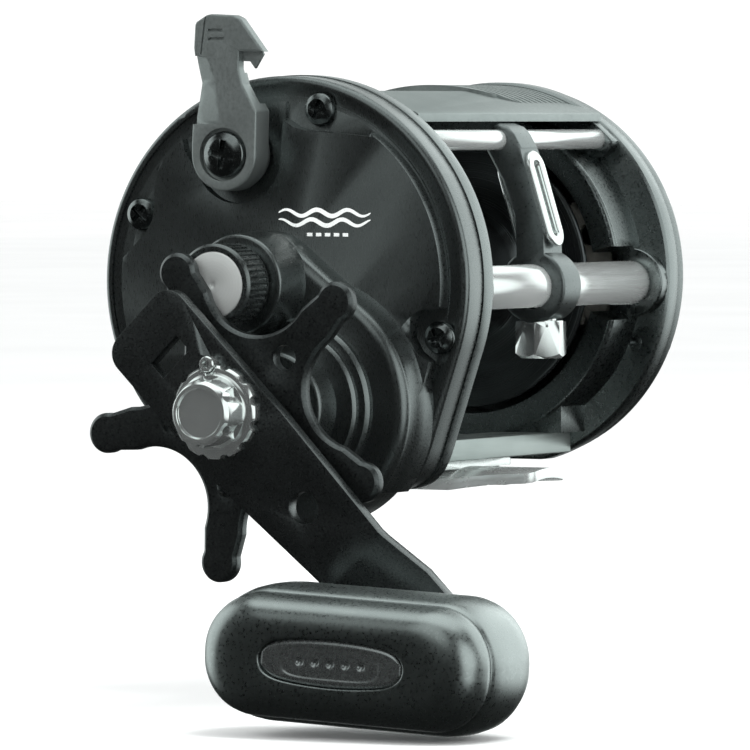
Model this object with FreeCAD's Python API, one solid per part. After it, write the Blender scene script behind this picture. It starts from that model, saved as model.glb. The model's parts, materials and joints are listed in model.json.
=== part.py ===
import FreeCAD, Part
import math
import os

V = FreeCAD.Vector

# ---------------------------------------------------------------- driving dimensions (mm)
# Working axes: x runs along the spool axis from the handle-side rim face towards the
# left plate, y runs to the rear, z up, spool axis at y = z = 0.  Every shape is moved
# by SHIFT at export so that the row origin is the centre of the rod seat.
SHIFT = V(-52.0, 0.0, 38.6)

X_MID = 52.0                    # middle of the frame
RING_R = 41.2                   # frame ring outer radius
RIM_R = 41.0                    # side plate rim radius
DRIVE_LOBE_R = 26.2             # outline radius about the drive axis
FLAT_Z = -41.0                  # flat bottom of rings and plates
CORNER_R = 9.0
RING_X0, RING_X1 = 6.8, 11.2    # handle-side ring; the left ring mirrors it
CUP_IN, CUP_OUT, CUP_X = 28.7, 34.0, 22.8
LEFT_RING_R, LEFT_RIM_R, LEFT_FLAT_Z = 40.0, 39.4, -38.5

GEAR_MODULE = 0.718
Z_DRIVE, Z_PINION = 61, 10
GEAR_C = 0.5 * GEAR_MODULE * (Z_DRIVE + Z_PINION)
DY = -7.7                       # drive axis
DZ = -math.sqrt(GEAR_C ** 2 - DY ** 2)
SHIFT_X = 0.35                  # profile shift of the pinion, taken off the gear
BACKLASH = 0.15

LW_MODULE = 0.65                # levelwind train
Z_SPOOLGEAR, Z_IDLER, Z_WORM = 12, 38, 14
WY, WZ = -32.6, -1.35           # worm and levelwind tube axis
TUBE_R, TUBE_BORE = 4.5, 3.5
WORM_R = 3.3
ROD_Y, ROD_Z, ROD_R = -24.8, 28.2, 2.05

FLANGE_R, ARBOR_R = 27.4, 13.0
FL_X0, FL_X1 = 22.6, 81.4       # outer faces of the spool flanges
SHAFT_R, SHAFT_END_R = 2.2, 1.5

PLATEAU_X, GEARBOX_X, ENDBOSS_X = -3.6, -10.0, -19.5
LEVER_Y, LEVER_Z = 8.5, 25.4
CAP_FACE_X = -29.1
STAR_X0, STAR_X1, STAR_TIP_R = -33.0, -30.2, 30.1
CRANK_X0, CRANK_X1, CRANK_W = -41.2, -38.2, 20.0
CRANK_NECK_W, CRANK_SET = 15.8, 8.0  # width beyond the taper, set-back of the knob end
KNOB_T = 63.8                   # knob axis from the drive axis, along the arm
GEAR_CAV_R = 22.65              # gear chamber in the right plate
GUIDE_X = 48.8                  # line guide centre at rest

PARTS = {}


# ---------------------------------------------------------------- helpers
def cyl(x0, x1, r, y=0.0, z=0.0):
    return Part.makeCylinder(r, x1 - x0, V(x0, y, z), V(1, 0, 0))


def cone(x0, x1, r0, r1, y=0.0, z=0.0):
    return Part.makeCone(r0, r1, x1 - x0, V(x0, y, z), V(1, 0, 0))


def box(x0, x1, y0, y1, z0, z1):
    return Part.makeBox(x1 - x0, y1 - y0, z1 - z0, V(x0, y0, z0))


def poly_yz(pts, x0, x1):
    w = Part.makePolygon([V(x0, p[0], p[1]) for p in pts] + [V(x0, pts[0][0], pts[0][1])])
    return Part.Face(w).extrude(V(x1 - x0, 0, 0))


def poly_xy(pts, z0, z1):
    w = Part.makePolygon([V(p[0], p[1], z0) for p in pts] + [V(pts[0][0], pts[0][1], z0)])
    return Part.Face(w).extrude(V(0, 0, z1 - z0))


def poly_xz(pts, y0, y1):
    w = Part.makePolygon([V(p[0], y0, p[1]) for p in pts] + [V(pts[0][0], y0, pts[0][1])])
    return Part.Face(w).extrude(V(0, y1 - y0, 0))


def turned(profile, y=0.0, z=0.0):
    """Solid of revolution about the X axis through (y, z); profile is [(x, r), ...]."""
    pts = [V(p[0], y, z + p[1]) for p in profile]
    w = Part.makePolygon(pts + [pts[0]])
    return Part.Face(w).revolve(V(0, y, z), V(1, 0, 0), 360)


def fuse(*shapes):
    s = shapes[0].multiFuse(list(shapes[1:]))
    return s.removeSplitter()


def spin(shape, deg, y=0.0, z=0.0):
    s = shape.copy()
    s.rotate(V(0, y, z), V(1, 0, 0), deg)
    return s


def safe_fillet(shape, r, pick):
    edges = [e for e in shape.Edges if pick(e)]
    for rr in (r, 0.6 * r, 0.35 * r):
        try:
            out = shape.makeFillet(rr, edges)
            if out.isValid() and out.Volume > 0:
                return out
        except Exception:
            pass
    good = shape
    for e in edges:
        try:
            out = good.makeFillet(0.35 * r, [e])
            if out.isValid():
                good = out
                break
        except Exception:
            continue
    return good


def safe_chamfer(shape, c, pick):
    edges = [e for e in shape.Edges if pick(e)]
    for cc in (c, 0.6 * c, 0.3 * c):
        try:
            out = shape.makeChamfer(cc, edges)
            if out.isValid() and out.Volume > 0:
                return out
        except Exception:
            pass
    return shape


def at_x(x, tol=0.02):
    return lambda e: abs(e.BoundBox.XMin - x) < tol and abs(e.BoundBox.XMax - x) < tol


def put(name, shape):
    s = shape.copy()
    if s.ShapeType == "Compound" and len(s.Solids) == 1:
        s = s.Solids[0]
    s.translate(SHIFT)
    PARTS[name] = s


def hull_plate(x0, x1, r1, r2, zb, rc):
    """Outline of the end plates: two circles joined by tangents, flat at the bottom."""
    d = math.hypot(DY, DZ)
    ang = math.atan2(DZ, DY)
    off = math.acos((r1 - r2) / d)
    q = []
    for sgn in (1, -1):
        a = ang + sgn * off
        q.append(((r1 * math.cos(a), r1 * math.sin(a)),
                  (DY + r2 * math.cos(a), DZ + r2 * math.sin(a))))
    quad = poly_yz([(0, 0), q[0][0], q[0][1], (DY, DZ), q[1][1], q[1][0]], x0, x1)
    s = fuse(cyl(x0, x1, r1), cyl(x0, x1, r2, DY, DZ), quad)
    s = s.cut(box(x0 - 1, x1 + 1, -60, 60, -80, zb)).removeSplitter()

    def corner(e):
        b = e.BoundBox
        return b.XLength > (x1 - x0) * 0.9 and b.YLength < 0.01 and abs(b.ZMin - zb) < 0.05
    return safe_fillet(s, rc, corner)


def round_plate(x0, x1, r, zb, rc):
    """Round plate with a flat bottom and rounded corners."""
    s = cyl(x0, x1, r).cut(box(x0 - 1, x1 + 1, -60, 60, -80, zb)).removeSplitter()

    def corner(e):
        b = e.BoundBox
        return b.XLength > (x1 - x0) * 0.9 and b.YLength < 0.01 and abs(b.ZMin - zb) < 0.05
    return safe_fillet(s, rc, corner)


def involute_profile(module, z, shift, backlash, add=0.95, ded=1.2):
    """Half tooth flank as (r, half angle) pairs from root to tip."""
    al = math.radians(20)
    rp = 0.5 * module * z
    rb = rp * math.cos(al)
    ra = rp + module * (add + shift)
    rf = rp - module * (ded - shift)
    s = module * (math.pi / 2 + 2 * shift * math.tan(al)) - backlash
    inv = math.tan(al) - al
    pts = []
    r0 = max(rb, rf)
    n = 5
    for i in range(n):
        r = r0 + (ra - r0) * i / (n - 1)
        c = min(1.0, rb / r)
        aa = math.acos(c)
        h = s / (2 * rp) + inv - (math.tan(aa) - aa)
        pts.append((r, max(h, 0.02)))
    return rf, ra, pts


def gear(x0, x1, module, z, shift, backlash, y, zc, phase, undercut=0.0):
    rf, ra, fl = involute_profile(module, z, shift, backlash, 0.88)
    pitch = 2 * math.pi / z
    edges = []

    def P(r, a):
        return V(x0, y + r * math.cos(a), zc + r * math.sin(a))
    for i in range(z):
        c = phase + i * pitch
        r0, h0 = fl[0]
        hr = h0 - undercut
        last = P(rf, c - hr)
        if r0 - rf > 0.02:
            edges.append(Part.makeLine(last, P(r0, c - h0)))
        lo = [P(r, c - h) for r, h in fl]
        b = Part.BSplineCurve()
        b.interpolate(lo)
        edges.append(b.toShape())
        rt, ht = fl[-1]
        edges.append(Part.Arc(P(rt, c - ht), P(rt, c), P(rt, c + ht)).toShape())
        hi = [P(r, c + h) for r, h in reversed(fl)]
        b = Part.BSplineCurve()
        b.interpolate(hi)
        edges.append(b.toShape())
        if r0 - rf > 0.02:
            edges.append(Part.makeLine(P(r0, c + h0), P(rf, c + hr)))
        nxt = c + pitch
        edges.append(Part.Arc(P(rf, c + hr), P(rf, c + pitch / 2), P(rf, nxt - hr)).toShape())
    return Part.Face(Part.Wire(Part.__sortEdges__(edges))).extrude(V(x1 - x0, 0, 0))


def mate_phase(ph1, z1, z2, phi):
    """Tooth phase of gear 2 that meshes gear 1 (tooth at ph1) across direction phi."""
    return phi + math.pi - (ph1 - phi) * z1 / z2 + math.pi / z2


def slotted_recess(x_out, r, y, z, cross=True, width=0.9, depth=1.1, turn=20.0, sgn=1):
    a, b = (x_out - 0.2, x_out + depth) if sgn > 0 else (x_out - depth, x_out + 0.2)
    s = box(a, b, -r, r, -width / 2, width / 2)
    if cross:
        s = s.fuse(box(a, b, -width / 2, width / 2, -r, r))
    s.rotate(V(0, 0, 0), V(1, 0, 0), turn)
    s.translate(V(0, y, z))
    return s


def pan_screw(x_head, head_r, head_t, shank_r, shank_l, y, z, sgn=1, turn=20.0):
    """Pan-head screw whose head starts at x_head and whose shank runs along sgn * X."""
    if sgn > 0:
        head = turned([(x_head, 0), (x_head, head_r * 0.62), (x_head + head_t * 0.35, head_r * 0.93),
                       (x_head + head_t * 0.6, head_r), (x_head + head_t, head_r), (x_head + head_t, 0)], y, z)
        shank = cyl(x_head + head_t, x_head + head_t + shank_l, shank_r, y, z)
    else:
        head = turned([(x_head, 0), (x_head, head_r * 0.62), (x_head - head_t * 0.35, head_r * 0.93),
                       (x_head - head_t * 0.6, head_r), (x_head - head_t, head_r), (x_head - head_t, 0)], y, z)
        shank = cyl(x_head - head_t - shank_l, x_head - head_t, shank_r, y, z)
    s = fuse(head, shank)
    return s.cut(slotted_recess(x_head, head_r * 0.62, y, z, True, 0.27 * head_r, 0.55 * head_t, turn, sgn))


# ---------------------------------------------------------------- shared positions
SCREWS = [(-8.5, 34.4), (31.9, 13.4), (-35.2, -10.5), (26.5, -24.0)]
L_SCREWS = [(-8.4, 34.2), (31.8, 13.5), (-32.4, -13.9), (26.0, -23.6)]

# ================================================================ frame
def frame_ring(side):
    if side > 0:
        s = hull_plate(RING_X0, RING_X1, RING_R, DRIVE_LOBE_R, FLAT_Z, CORNER_R)
    else:
        s = round_plate(RING_X0, RING_X1, LEFT_RING_R, LEFT_FLAT_Z, 6.0)
    s = safe_chamfer(s, 0.5, lambda e: at_x(RING_X1)(e))
    cup = cyl(RING_X1, CUP_X, CUP_OUT)
    cup = safe_fillet(cup, 1.0, at_x(CUP_X))
    leg = box(RING_X1, CUP_X - 0.6, -20.7, 20.7, -32.4, -20.0)
    tie = cyl(RING_X1, RING_X1 + 3.0, ROD_R + 1.6, ROD_Y, ROD_Z).common(cyl(0, 40, LEFT_RING_R - 0.2))
    boss = cyl(RING_X1, RING_X1 + 3.0, 7.2, WY, WZ)
    boss = safe_fillet(boss, 0.6, at_x(RING_X1 + 3.0))
    s = fuse(s, cup, leg, tie, boss)
    s = s.cut(cyl(RING_X0 - 1, CUP_X + 1, CUP_IN))
    s = s.cut(cyl(RING_X1 + 2.9, CUP_X + 1, 7.6, WY, WZ))
    s = s.cut(cyl(RING_X0 - 1, CUP_X + 1, TUBE_R, WY, WZ))
    s = s.cut(cyl(RING_X0 + 1.2, RING_X1 + 9, ROD_R, ROD_Y, ROD_Z))
    for (a, b) in (SCREWS if side > 0 else L_SCREWS):
        s = s.cut(cyl(RING_X0 - 1, RING_X1 + 1.6, 1.5, a, b))
    if side < 0:
        s = s.mirror(V(X_MID, 0, 0), V(1, 0, 0))
    return s


ring_r = frame_ring(1)
ring_l = frame_ring(-1)
put("frame_ring_right", ring_r)
put("frame_ring_left", ring_l)

# thumb rest across the top, with a ribbed pad at its left end
TP0, TP1 = RING_X1, 2 * X_MID - RING_X1
prof = [(-24.3, 31.9), (-24.3, 33.4), (-23.6, 33.9), (-7.0, 38.1), (6.0, 38.1), (13.5, 36.4),
        (16.8, 35.0), (16.8, 33.2), (6.0, 35.4), (-6.5, 35.4), (-20.0, 31.9)]
top = poly_yz(prof, TP0, TP1)
pad = cyl(60, TP1, 39.4).cut(cyl(59, TP1 + 1, 36.9))
pad = pad.cut(box(50, 110, -30, 30, 0, 31.9))
pad = pad.common(poly_xy([(75.5, -24.3), (66.0, -8.0), (62.0, 2.0), (60.5, 16.8), (TP1, 16.8), (TP1, -24.3)], 25, 45))
for i in range(10):
    gx = 68.6 + 2.35 * i
    pad = pad.cut(cyl(gx, gx + 0.95, 42.0).cut(cyl(gx - 1, gx + 2, 38.8)))
top = fuse(top, pad)
top = top.cut(cyl(TP0 - 1, TP1 + 1, CUP_OUT))
put("thumb_rest", top)

# bottom plate between the rings
BX0, BX1 = RING_X1, 2 * X_MID - RING_X1
bp = box(BX0, BX1, -17.5, 17.5, -36.8, -32.4)
bp = bp.cut(cyl(BX0 - 1, BX1 + 1, 33.0)).cut(cyl(BX0 - 1, CUP_X + 0.3, CUP_OUT)).cut(cyl(2 * X_MID - CUP_X - 0.3, BX1 + 1, CUP_OUT))
FOOT_SCREWS = [(-16.4, -10.6), (16.4, -10.6), (-16.4, 10.6), (16.4, 10.6)]
for (a, b) in FOOT_SCREWS:
    bp = bp.cut(Part.makeCylinder(1.25, 6, V(X_MID + a, b, -38), V(0, 0, 1)))
put("bottom_plate", bp)

# rod seat: pressed saddle with two tapering tips and two screwed wings
SEAT_R = 34.0
SEAT_TOP = -38.2
SEAT_T = 2.0
WING_Z0, WING_Z1 = -38.6, -36.8
CLAMP_DX, CLAMP_R = 34.0, 2.6


def saddle(r, y0, y1):
    return Part.makeCylinder(r, y1 - y0, V(X_MID, y0, SEAT_TOP - SEAT_T - SEAT_R), V(0, 1, 0)).common(
        box(X_MID - 30, X_MID + 30, y0, y1, -50, -30))


plan = poly_xy([(X_MID - 7.6, -33), (X_MID + 7.6, -33), (X_MID + 9.4, -24), (X_MID + 12.5, -16.5), (X_MID + 12.5, 17.5),
                (X_MID + 9.2, 25), (X_MID + 7.6, 37), (X_MID - 7.6, 37), (X_MID - 9.2, 25), (X_MID - 12.5, 17.5),
                (X_MID - 12.5, -16.5), (X_MID - 9.4, -24)], -60, -30)
plan = safe_fillet(plan, 2.5, lambda e: e.BoundBox.ZLength > 20 and (abs(e.BoundBox.YMin + 33) < 0.1 or abs(e.BoundBox.YMin - 37) < 0.1))
foot = saddle(SEAT_R + SEAT_T, -33, 37).cut(saddle(SEAT_R, -40, 45)).common(plan)
wings = box(X_MID - 21.5, X_MID + 21.5, -15.2, 15.2, WING_Z0, WING_Z1)
wings = safe_fillet(wings, 5.0, lambda e: e.BoundBox.ZLength > 1.0)
wings = wings.cut(saddle(SEAT_R, -40, 45))
foot = fuse(foot, wings)
for (a, b) in FOOT_SCREWS:
    foot = foot.cut(Part.makeCylinder(1.25, 16, V(X_MID + a, b, -48), V(0, 0, 1)))
for sx in (-1, 1):
    foot = foot.cut(Part.makeCylinder(CLAMP_R, 6, V(X_MID + sx * CLAMP_DX / 2, 0, -41), V(0, 0, 1)))
put("reel_foot", foot)
scr = []
for i, (a, b) in enumerate(FOOT_SCREWS):
    h = Part.makeCylinder(2.4, 1.5, V(X_MID + a, b, WING_Z0 - 1.5), V(0, 0, 1))
    h = h.fuse(Part.makeCylinder(1.2, 5.0, V(X_MID + a, b, WING_Z0), V(0, 0, 1)))
    h = h.cut(Part.makeBox(5.4, 0.8, 0.8, V(X_MID + a - 2.7, b - 0.4, WING_Z0 - 1.8)))
    scr.append(h.removeSplitter())
put("foot_screws", Part.makeCompound(scr))

# guide rod and levelwind tube
put("guide_rod", safe_chamfer(cyl(RING_X0 + 1.2, 2 * X_MID - RING_X0 - 1.2, ROD_R, ROD_Y, ROD_Z), 0.4, lambda e: True))
tube = cyl(RING_X0 + 0.4, 2 * X_MID - RING_X0 - 0.4, TUBE_R, WY, WZ).cut(
    cyl(RING_X0 - 1, 2 * X_MID + 2, TUBE_BORE, WY, WZ))
tube = tube.cut(box(22.0, 82.0, WY - 1.7, WY + 1.7, WZ - 6, WZ))
put("levelwind_tube", tube)

# ================================================================ right side plate
skin = 1.9
sp = hull_plate(0.0, 6.6, RIM_R, DRIVE_LOBE_R - 0.2, FLAT_Z, CORNER_R)
sp = safe_fillet(sp, 1.3, at_x(0.0))
plateau = hull_plate(PLATEAU_X, 1.0, 35.9, DRIVE_LOBE_R - 3.4, FLAT_Z + 4.4, CORNER_R * 0.6)
plateau.translate(V(0, -0.9, 0))
# recesses round the four plate screws, each open to the rim
NOTCH = [[(-1.2, 32.6), (-4.0, 30.9), (-6.9, 30.1), (-10.5, 29.9), (-20.6, 29.0), (-30.0, 44.0), (-1.0, 48.0)],
         [(35.4, 4.0), (31.6, 7.6), (29.4, 9.9), (28.0, 12.2), (27.5, 14.6), (27.5, 18.4), (26.6, 22.0), (40.0, 34.0), (50.0, 4.0)],
         [(-30.2, -6.4), (-29.9, -10.6), (-31.4, -13.3), (-37.5, -17.6), (-46.0, -24.0), (-50.0, -6.0), (-36.0, -4.8), (-32.4, -5.0)],
         [(21.6, -25.6), (21.9, -21.6), (24.0, -19.4), (28.0, -18.8), (44.0, -22.0), (40.0, -44.0), (22.0, -34.0)]]
for q in NOTCH:
    plateau = plateau.cut(poly_yz(q, PLATEAU_X - 1, -0.05))
fan = cyl(PLATEAU_X - 1, -1.4, 9.8, LEVER_Y, LEVER_Z).fuse(
    poly_yz([(16.4, 19.6), (20.6, 26.3), (25.0, 46.0), (-4.4, 46.0), (-1.8, 32.2), (-1.2, 25.6)], PLATEAU_X - 1, -1.4))
plateau = plateau.cut(fan).removeSplitter()


def plate_edge(e):
    b = e.BoundBox
    return b.YLength < 0.01 and b.ZLength < 0.01 and 1.5 < b.XLength < 4.7 and math.hypot(b.YMin, b.ZMin) > 26 and b.ZMin > -22


plateau = safe_fillet(plateau, 1.4, plate_edge)
plateau = safe_fillet(plateau, 2.6, at_x(PLATEAU_X))
groove = cyl(-0.4, 0.55, 39.2).cut(cyl(-1, 1, 37.0))
GB_R, GB_SMALL, GB_LOW = 24.6, 10.2, 23.8     # gear housing: lobe, spool-axis lobe, lobe under the flat
d = math.hypot(DY, DZ)
ang = math.atan2(DZ, DY)
off = math.acos((GB_R - GB_SMALL) / d)
qs = []
for sgn in (1, -1):
    a = ang + math.pi - sgn * off
    qs.append(((GB_SMALL * math.cos(a), GB_SMALL * math.sin(a)), (DY + GB_R * math.cos(a), DZ + GB_R * math.sin(a))))
gb_quad = poly_yz([qs[0][0], qs[0][1], (DY, DZ), qs[1][1], qs[1][0], (0, 0)], GEARBOX_X, 1.0)
gb_small = cyl(GEARBOX_X, 1.0, GB_SMALL)
below = box(-30, 10, -60, 60, -80, FLAT_Z)
gb_top = safe_fillet(fuse(cyl(GEARBOX_X, 1.0, GB_R, DY, DZ), gb_small, gb_quad), 2.4, at_x(GEARBOX_X))
draft = cone(-7.4, -3.4, GB_R - 0.02, GB_R + 1.2, DY, DZ).fuse(cyl(-3.4, 1.0, GB_R + 1.2, DY, DZ))
low = safe_fillet(cyl(GEARBOX_X, 2.2, GB_LOW, DY, DZ), 2.2, at_x(GEARBOX_X)).common(below)
gb_top = fuse(fuse(gb_top, draft).cut(below), low)
end_boss = cone(ENDBOSS_X, GEARBOX_X + 0.6, 9.8, 10.4)
end_boss = safe_fillet(end_boss, 0.8, at_x(ENDBOSS_X))
neck = cyl(-25.2, ENDBOSS_X + 0.5, 5.5)
step1 = safe_chamfer(cyl(-12.0, GEARBOX_X + 0.5, 17.6, DY, DZ), 0.7, at_x(-12.0))
step2 = safe_chamfer(cyl(-13.6, GEARBOX_X + 0.5, 15.5, DY, DZ), 0.6, at_x(-13.6))
step3 = safe_fillet(cyl(-20.4, GEARBOX_X + 0.5, 11.4, DY, DZ), 1.0, at_x(-20.4))
sp = sp.cut(groove)
body = fuse(sp, plateau, gb_top, end_boss, neck, step1, step2, step3)
# inside
cav = hull_plate(1.4, 8.0, RIM_R - 2.6, DRIVE_LOBE_R - 2.8, FLAT_Z + 2.2, CORNER_R * 0.7)
cav = cav.fuse(hull_plate(-1.5, 2.0, 28.8, DRIVE_LOBE_R - 5.6, FLAT_Z + 6.4, CORNER_R * 0.5).cut(
    cyl(-3, 1.4, 11.8, LEVER_Y, LEVER_Z)).cut(poly_yz([(18.0, 17.0), (24.0, 26.3), (27.0, 46.0), (-7.0, 46.0), (-4.0, 32.2), (-3.4, 24.0)], -3, 1.4)))
cav = cav.fuse(cyl(-8.3, 2.0, GEAR_CAV_R, DY, DZ))
cav = cav.fuse(cyl(-14.5, 2.0, 6.6))
cav = cav.cut(box(-9, 9, -60, 60, -80, -38.9).cut(cyl(-9, 0.9, GEAR_CAV_R, DY, DZ)))
posts = None
BOSSES = [(-25.3, 6.8), (21.0, -15.5), (16.0, -24.0), (-18.0, 19.0)]
for (a, b) in BOSSES[:2] + [BOSSES[3]]:
    cav = cav.cut(cyl(-3, 4.6, 3.0, a, b))
for (a, b) in SCREWS:
    cav = cav.cut(cyl(-3, 9, 3.1, a, b))
body = body.cut(cav)
body = body.cut(cyl(-30, 5, 3.5))                       # spool bush seat
body = body.cut(cyl(-14.4, 5, 6.6))
body = body.cut(cyl(-30, 5, 8.0, DY, DZ))               # drive bush seat
for (a, b) in SCREWS:
    body = body.cut(cyl(-9, 9, 1.8, a, b))
body = body.cut(cyl(-9, 9, 2.6, LEVER_Y, LEVER_Z))      # lever shaft bore
for (a, b) in BOSSES[:2] + [BOSSES[3]]:
    body = body.cut(cyl(1.6, 6, 1.0, a, b))
put("side_plate_right", body.removeSplitter())

put("plate_screws_right", Part.makeCompound(
    [pan_screw(-2.1, 3.25, 2.05, 1.5, 10.5, a, b, 1, 18 + 23 * i) for i, (a, b) in enumerate(SCREWS)]))

put("spool_bush_right", fuse(cyl(-24.0, -14.4, 3.5), cyl(-14.4, -13.6, 5.0)).cut(cyl(-26, -10, SHAFT_END_R + 0.05)))
put("drive_bush", fuse(cyl(-20.2, -9.0, 8.0, DY, DZ), cyl(-8.2, -7.85, 9.4, DY, DZ), cyl(-9.0, -8.2, 8.0, DY, DZ)).cut(
    cyl(-22, -5, 6.05, DY, DZ)))

# bridge plate with the inner bearing and two yoke posts
BRX0, BRX1 = 4.6, 6.2
br = cyl(BRX0, BRX1, 12.5).fuse(cyl(BRX0, BRX1, 9.0, DY, DZ))
br = br.fuse(poly_yz([(-12.4, 1.5), (-25.7, 3.5), (-25.9, 10.1), (-8.0, 9.6)], BRX0, BRX1)).fuse(cyl(BRX0, BRX1, 3.3, *BOSSES[0]))
br = br.fuse(poly_yz([(-16.5, -24.0), (-12.4, 0.0), (12.0, 3.0), (1.4, -25.5)], BRX0, BRX1))
br = br.fuse(poly_yz([(3.0, -12.0), (12.2, -1.0), (23.0, -12.9), (19.0, -18.1)], BRX0, BRX1)).fuse(cyl(BRX0, BRX1, 3.3, *BOSSES[1]))
br = br.fuse(poly_yz([(-12.2, 2.0), (-3.0, 12.1), (-15.7, 21.3), (-20.3, 16.7)], BRX0, BRX1)).fuse(cyl(BRX0, BRX1, 3.3, *BOSSES[3]))
br = br.cut(cyl(0, 9, 6.2)).cut(cyl(0, 9, 3.2, DY, DZ))
for (a, b) in BOSSES[:2] + [BOSSES[3]]:
    br = br.cut(cyl(0, 9, 1.0, a, b))
for sy in (-1, 1):
    br = br.cut(cyl(0, 9, 1.2, 10.6 * sy, 1.0))
put("bridge_plate", br.removeSplitter())
put("bridge_bush", fuse(cyl(3.9, 6.7, 3.2, DY, DZ), cyl(3.9, 4.6, 4.6, DY, DZ)).cut(cyl(2, 8, 2.05, DY, DZ)))
bscr = []
for i, (a, b) in enumerate(BOSSES[:2] + [BOSSES[3]]):
    bscr.append(fuse(cyl(2.2, BRX1, 0.98, a, b), cyl(BRX1, BRX1 + 1.2, 2.0, a, b)).cut(
        slotted_recess(BRX1 + 1.2, 1.3, a, b, True, 0.5, 0.6, 10, -1)))
put("bridge_screws", Part.makeCompound(bscr))
put("yoke_posts", Part.makeCompound([cyl(-1.4, BRX1, 1.2, 10.6 * sy, 1.0) for sy in (-1, 1)]))

# ================================================================ left side plate
LX0, LX1 = 2 * X_MID - 6.6, 102.2
lp = round_plate(LX0, LX1, LEFT_RIM_R, LEFT_FLAT_Z, 6.0)
lp = safe_fillet(lp, 1.5, at_x(LX1))
lpl = round_plate(LX1 - 1, 105.6, LEFT_RIM_R - 4.4, LEFT_FLAT_Z + 4.5, 5.0)
lpl = safe_fillet(lpl, 1.6, at_x(105.6))
for (a, b) in L_SCREWS:
    lpl = lpl.cut(cyl(LX1 + 0.2, 110, 4.4, a, b).fuse(cyl(LX1 + 0.2, 110, 4.4, a * 1.17, b * 1.17)))
l_boss = safe_fillet(cyl(105.0, 107.6, 13.5), 1.6, at_x(107.6))
l_boss2 = safe_fillet(cyl(107.0, 109.2, 7.4), 1.0, at_x(109.2))
lb = fuse(lp, lpl, l_boss, l_boss2)
lcav = round_plate(LX0 - 1, 100.4, LEFT_RIM_R - 2.5, LEFT_FLAT_Z + 2.3, 5.0)
lcav = lcav.fuse(round_plate(99.0, 103.6, 29.5, -26.0, 4.0))
lcav = lcav.fuse(cyl(96.0, 101.4, 5.8, WY, WZ))
for (a, b) in L_SCREWS:
    lcav = lcav.cut(cyl(90, 110, 3.1, a, b))
lb = lb.cut(lcav)
lb = lb.cut(cyl(100, 108.0, 3.6))
IDLER_C1 = 0.5 * LW_MODULE * (Z_SPOOLGEAR + Z_IDLER)
IDLER_C2 = 0.5 * LW_MODULE * (Z_IDLER + Z_WORM)
WD = math.hypot(WY, WZ)
W_ANG = math.atan2(WZ, WY)
tcos = (IDLER_C1 ** 2 + WD ** 2 - IDLER_C2 ** 2) / (2 * IDLER_C1 * WD)
I_ANG = W_ANG - math.acos(min(1.0, tcos))
IY, IZ = IDLER_C1 * math.cos(I_ANG), IDLER_C1 * math.sin(I_ANG)
for (a, b) in L_SCREWS:
    lb = lb.cut(cyl(90, 112, 1.8, a, b))
lb = lb.cut(cyl(101, 104.8, 1.5, IY, IZ))
CK_Y, CK_Z = 17.5, 14.0
lb = lb.cut(box(101, 107, CK_Y - 1.6, CK_Y + 1.6, CK_Z - 5.0, CK_Z + 5.0))
put("side_plate_left", lb.removeSplitter())
put("plate_screws_left", Part.makeCompound(
    [pan_screw(104.45, 3.25, 2.05, 1.5, 9.0, a, b, -1, 12 + 31 * i) for i, (a, b) in enumerate(L_SCREWS)]))
put("spool_bush_left", cyl(102.4, 107.4, 3.6).cut(cyl(101, 109, SHAFT_END_R + 0.05)))
put("idler_stud", fuse(cyl(97.6, 104.6, 1.5, IY, IZ), cyl(97.4, 97.9, 2.6, IY, IZ)))

# ================================================================ spool
fl = [(FL_X0, 5.2), (FL_X0, FLANGE_R - 1.1), (FL_X0 + 0.5, FLANGE_R), (FL_X0 + 1.5, FLANGE_R), (FL_X0 + 1.9, FLANGE_R - 0.6),
      (FL_X0 + 2.6, ARBOR_R + 5.0), (FL_X0 + 4.4, ARBOR_R + 1.2), (FL_X0 + 6.6, ARBOR_R)]
outer_p = fl + [(2 * X_MID - x, r) for (x, r) in reversed(fl)]
inner_p = [(FL_X1 - 6.0, SHAFT_R + 3.0), (FL_X1 - 6.0, ARBOR_R - 1.6), (FL_X0 + 6.0, ARBOR_R - 1.6), (FL_X0 + 6.0, SHAFT_R + 3.0)]
spl = turned(outer_p)
spl = spl.cut(turned(inner_p))
dish = turned([(FL_X0 - 1, 7.5), (FL_X0 - 1, FLANGE_R - 3.0), (FL_X0 + 0.9, FLANGE_R - 3.6), (FL_X0 + 1.5, ARBOR_R + 1.0), (FL_X0 + 2.6, 9.0), (FL_X0 + 2.6, 7.5)])
spl = spl.cut(dish).cut(dish.mirror(V(X_MID, 0, 0), V(1, 0, 0)))
hubs = cyl(FL_X0 - 4.5, FL_X0 + 0.2, 5.4).fuse(cyl(FL_X1 - 0.2, FL_X1 + 3.0, 5.4))
spl = fuse(spl, hubs, cyl(FL_X0, FL_X0 + 7.0, 8.0), cyl(FL_X1 - 7.0, FL_X1, 8.0))
spl = spl.cut(cyl(FL_X0 - 8, FL_X1 + 8, SHAFT_R))
spl = spl.cut(Part.makeCylinder(0.9, 8, V(X_MID + 4, 0, ARBOR_R - 4), V(0, 0, 1)))
put("spool_body", spl.removeSplitter())
shaft = fuse(cyl(-23.0, 6.8, SHAFT_END_R), cyl(6.7, 97.6, SHAFT_R), cyl(97.5, 106.0, SHAFT_END_R))
PINX = 5.7
pin_shape = Part.makeCylinder(0.8, 7.4, V(PINX, 0, -3.7), V(0, 0, 1))
put("spool_shaft", shaft.cut(pin_shape))
put("clutch_pin", pin_shape)
sg_phase = 0.2
SGX0, SGX1 = 98.4, 100.8
sgear = gear(SGX0, SGX1, LW_MODULE, Z_SPOOLGEAR, 0.25, 0.10, 0, 0, sg_phase).cut(cyl(90, 110, SHAFT_END_R))
put("spool_gear", sgear)
cw = cyl(86.6, 88.2, 9.0)
for i in range(18):
    a = 2 * math.pi * i / 18
    cw = cw.cut(cyl(86, 89, 0.95, 9.2 * math.cos(a), 9.2 * math.sin(a)))
cw = cw.fuse(cyl(85.4, 88.2, 4.6)).cut(cyl(80, 90, SHAFT_R))
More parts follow.
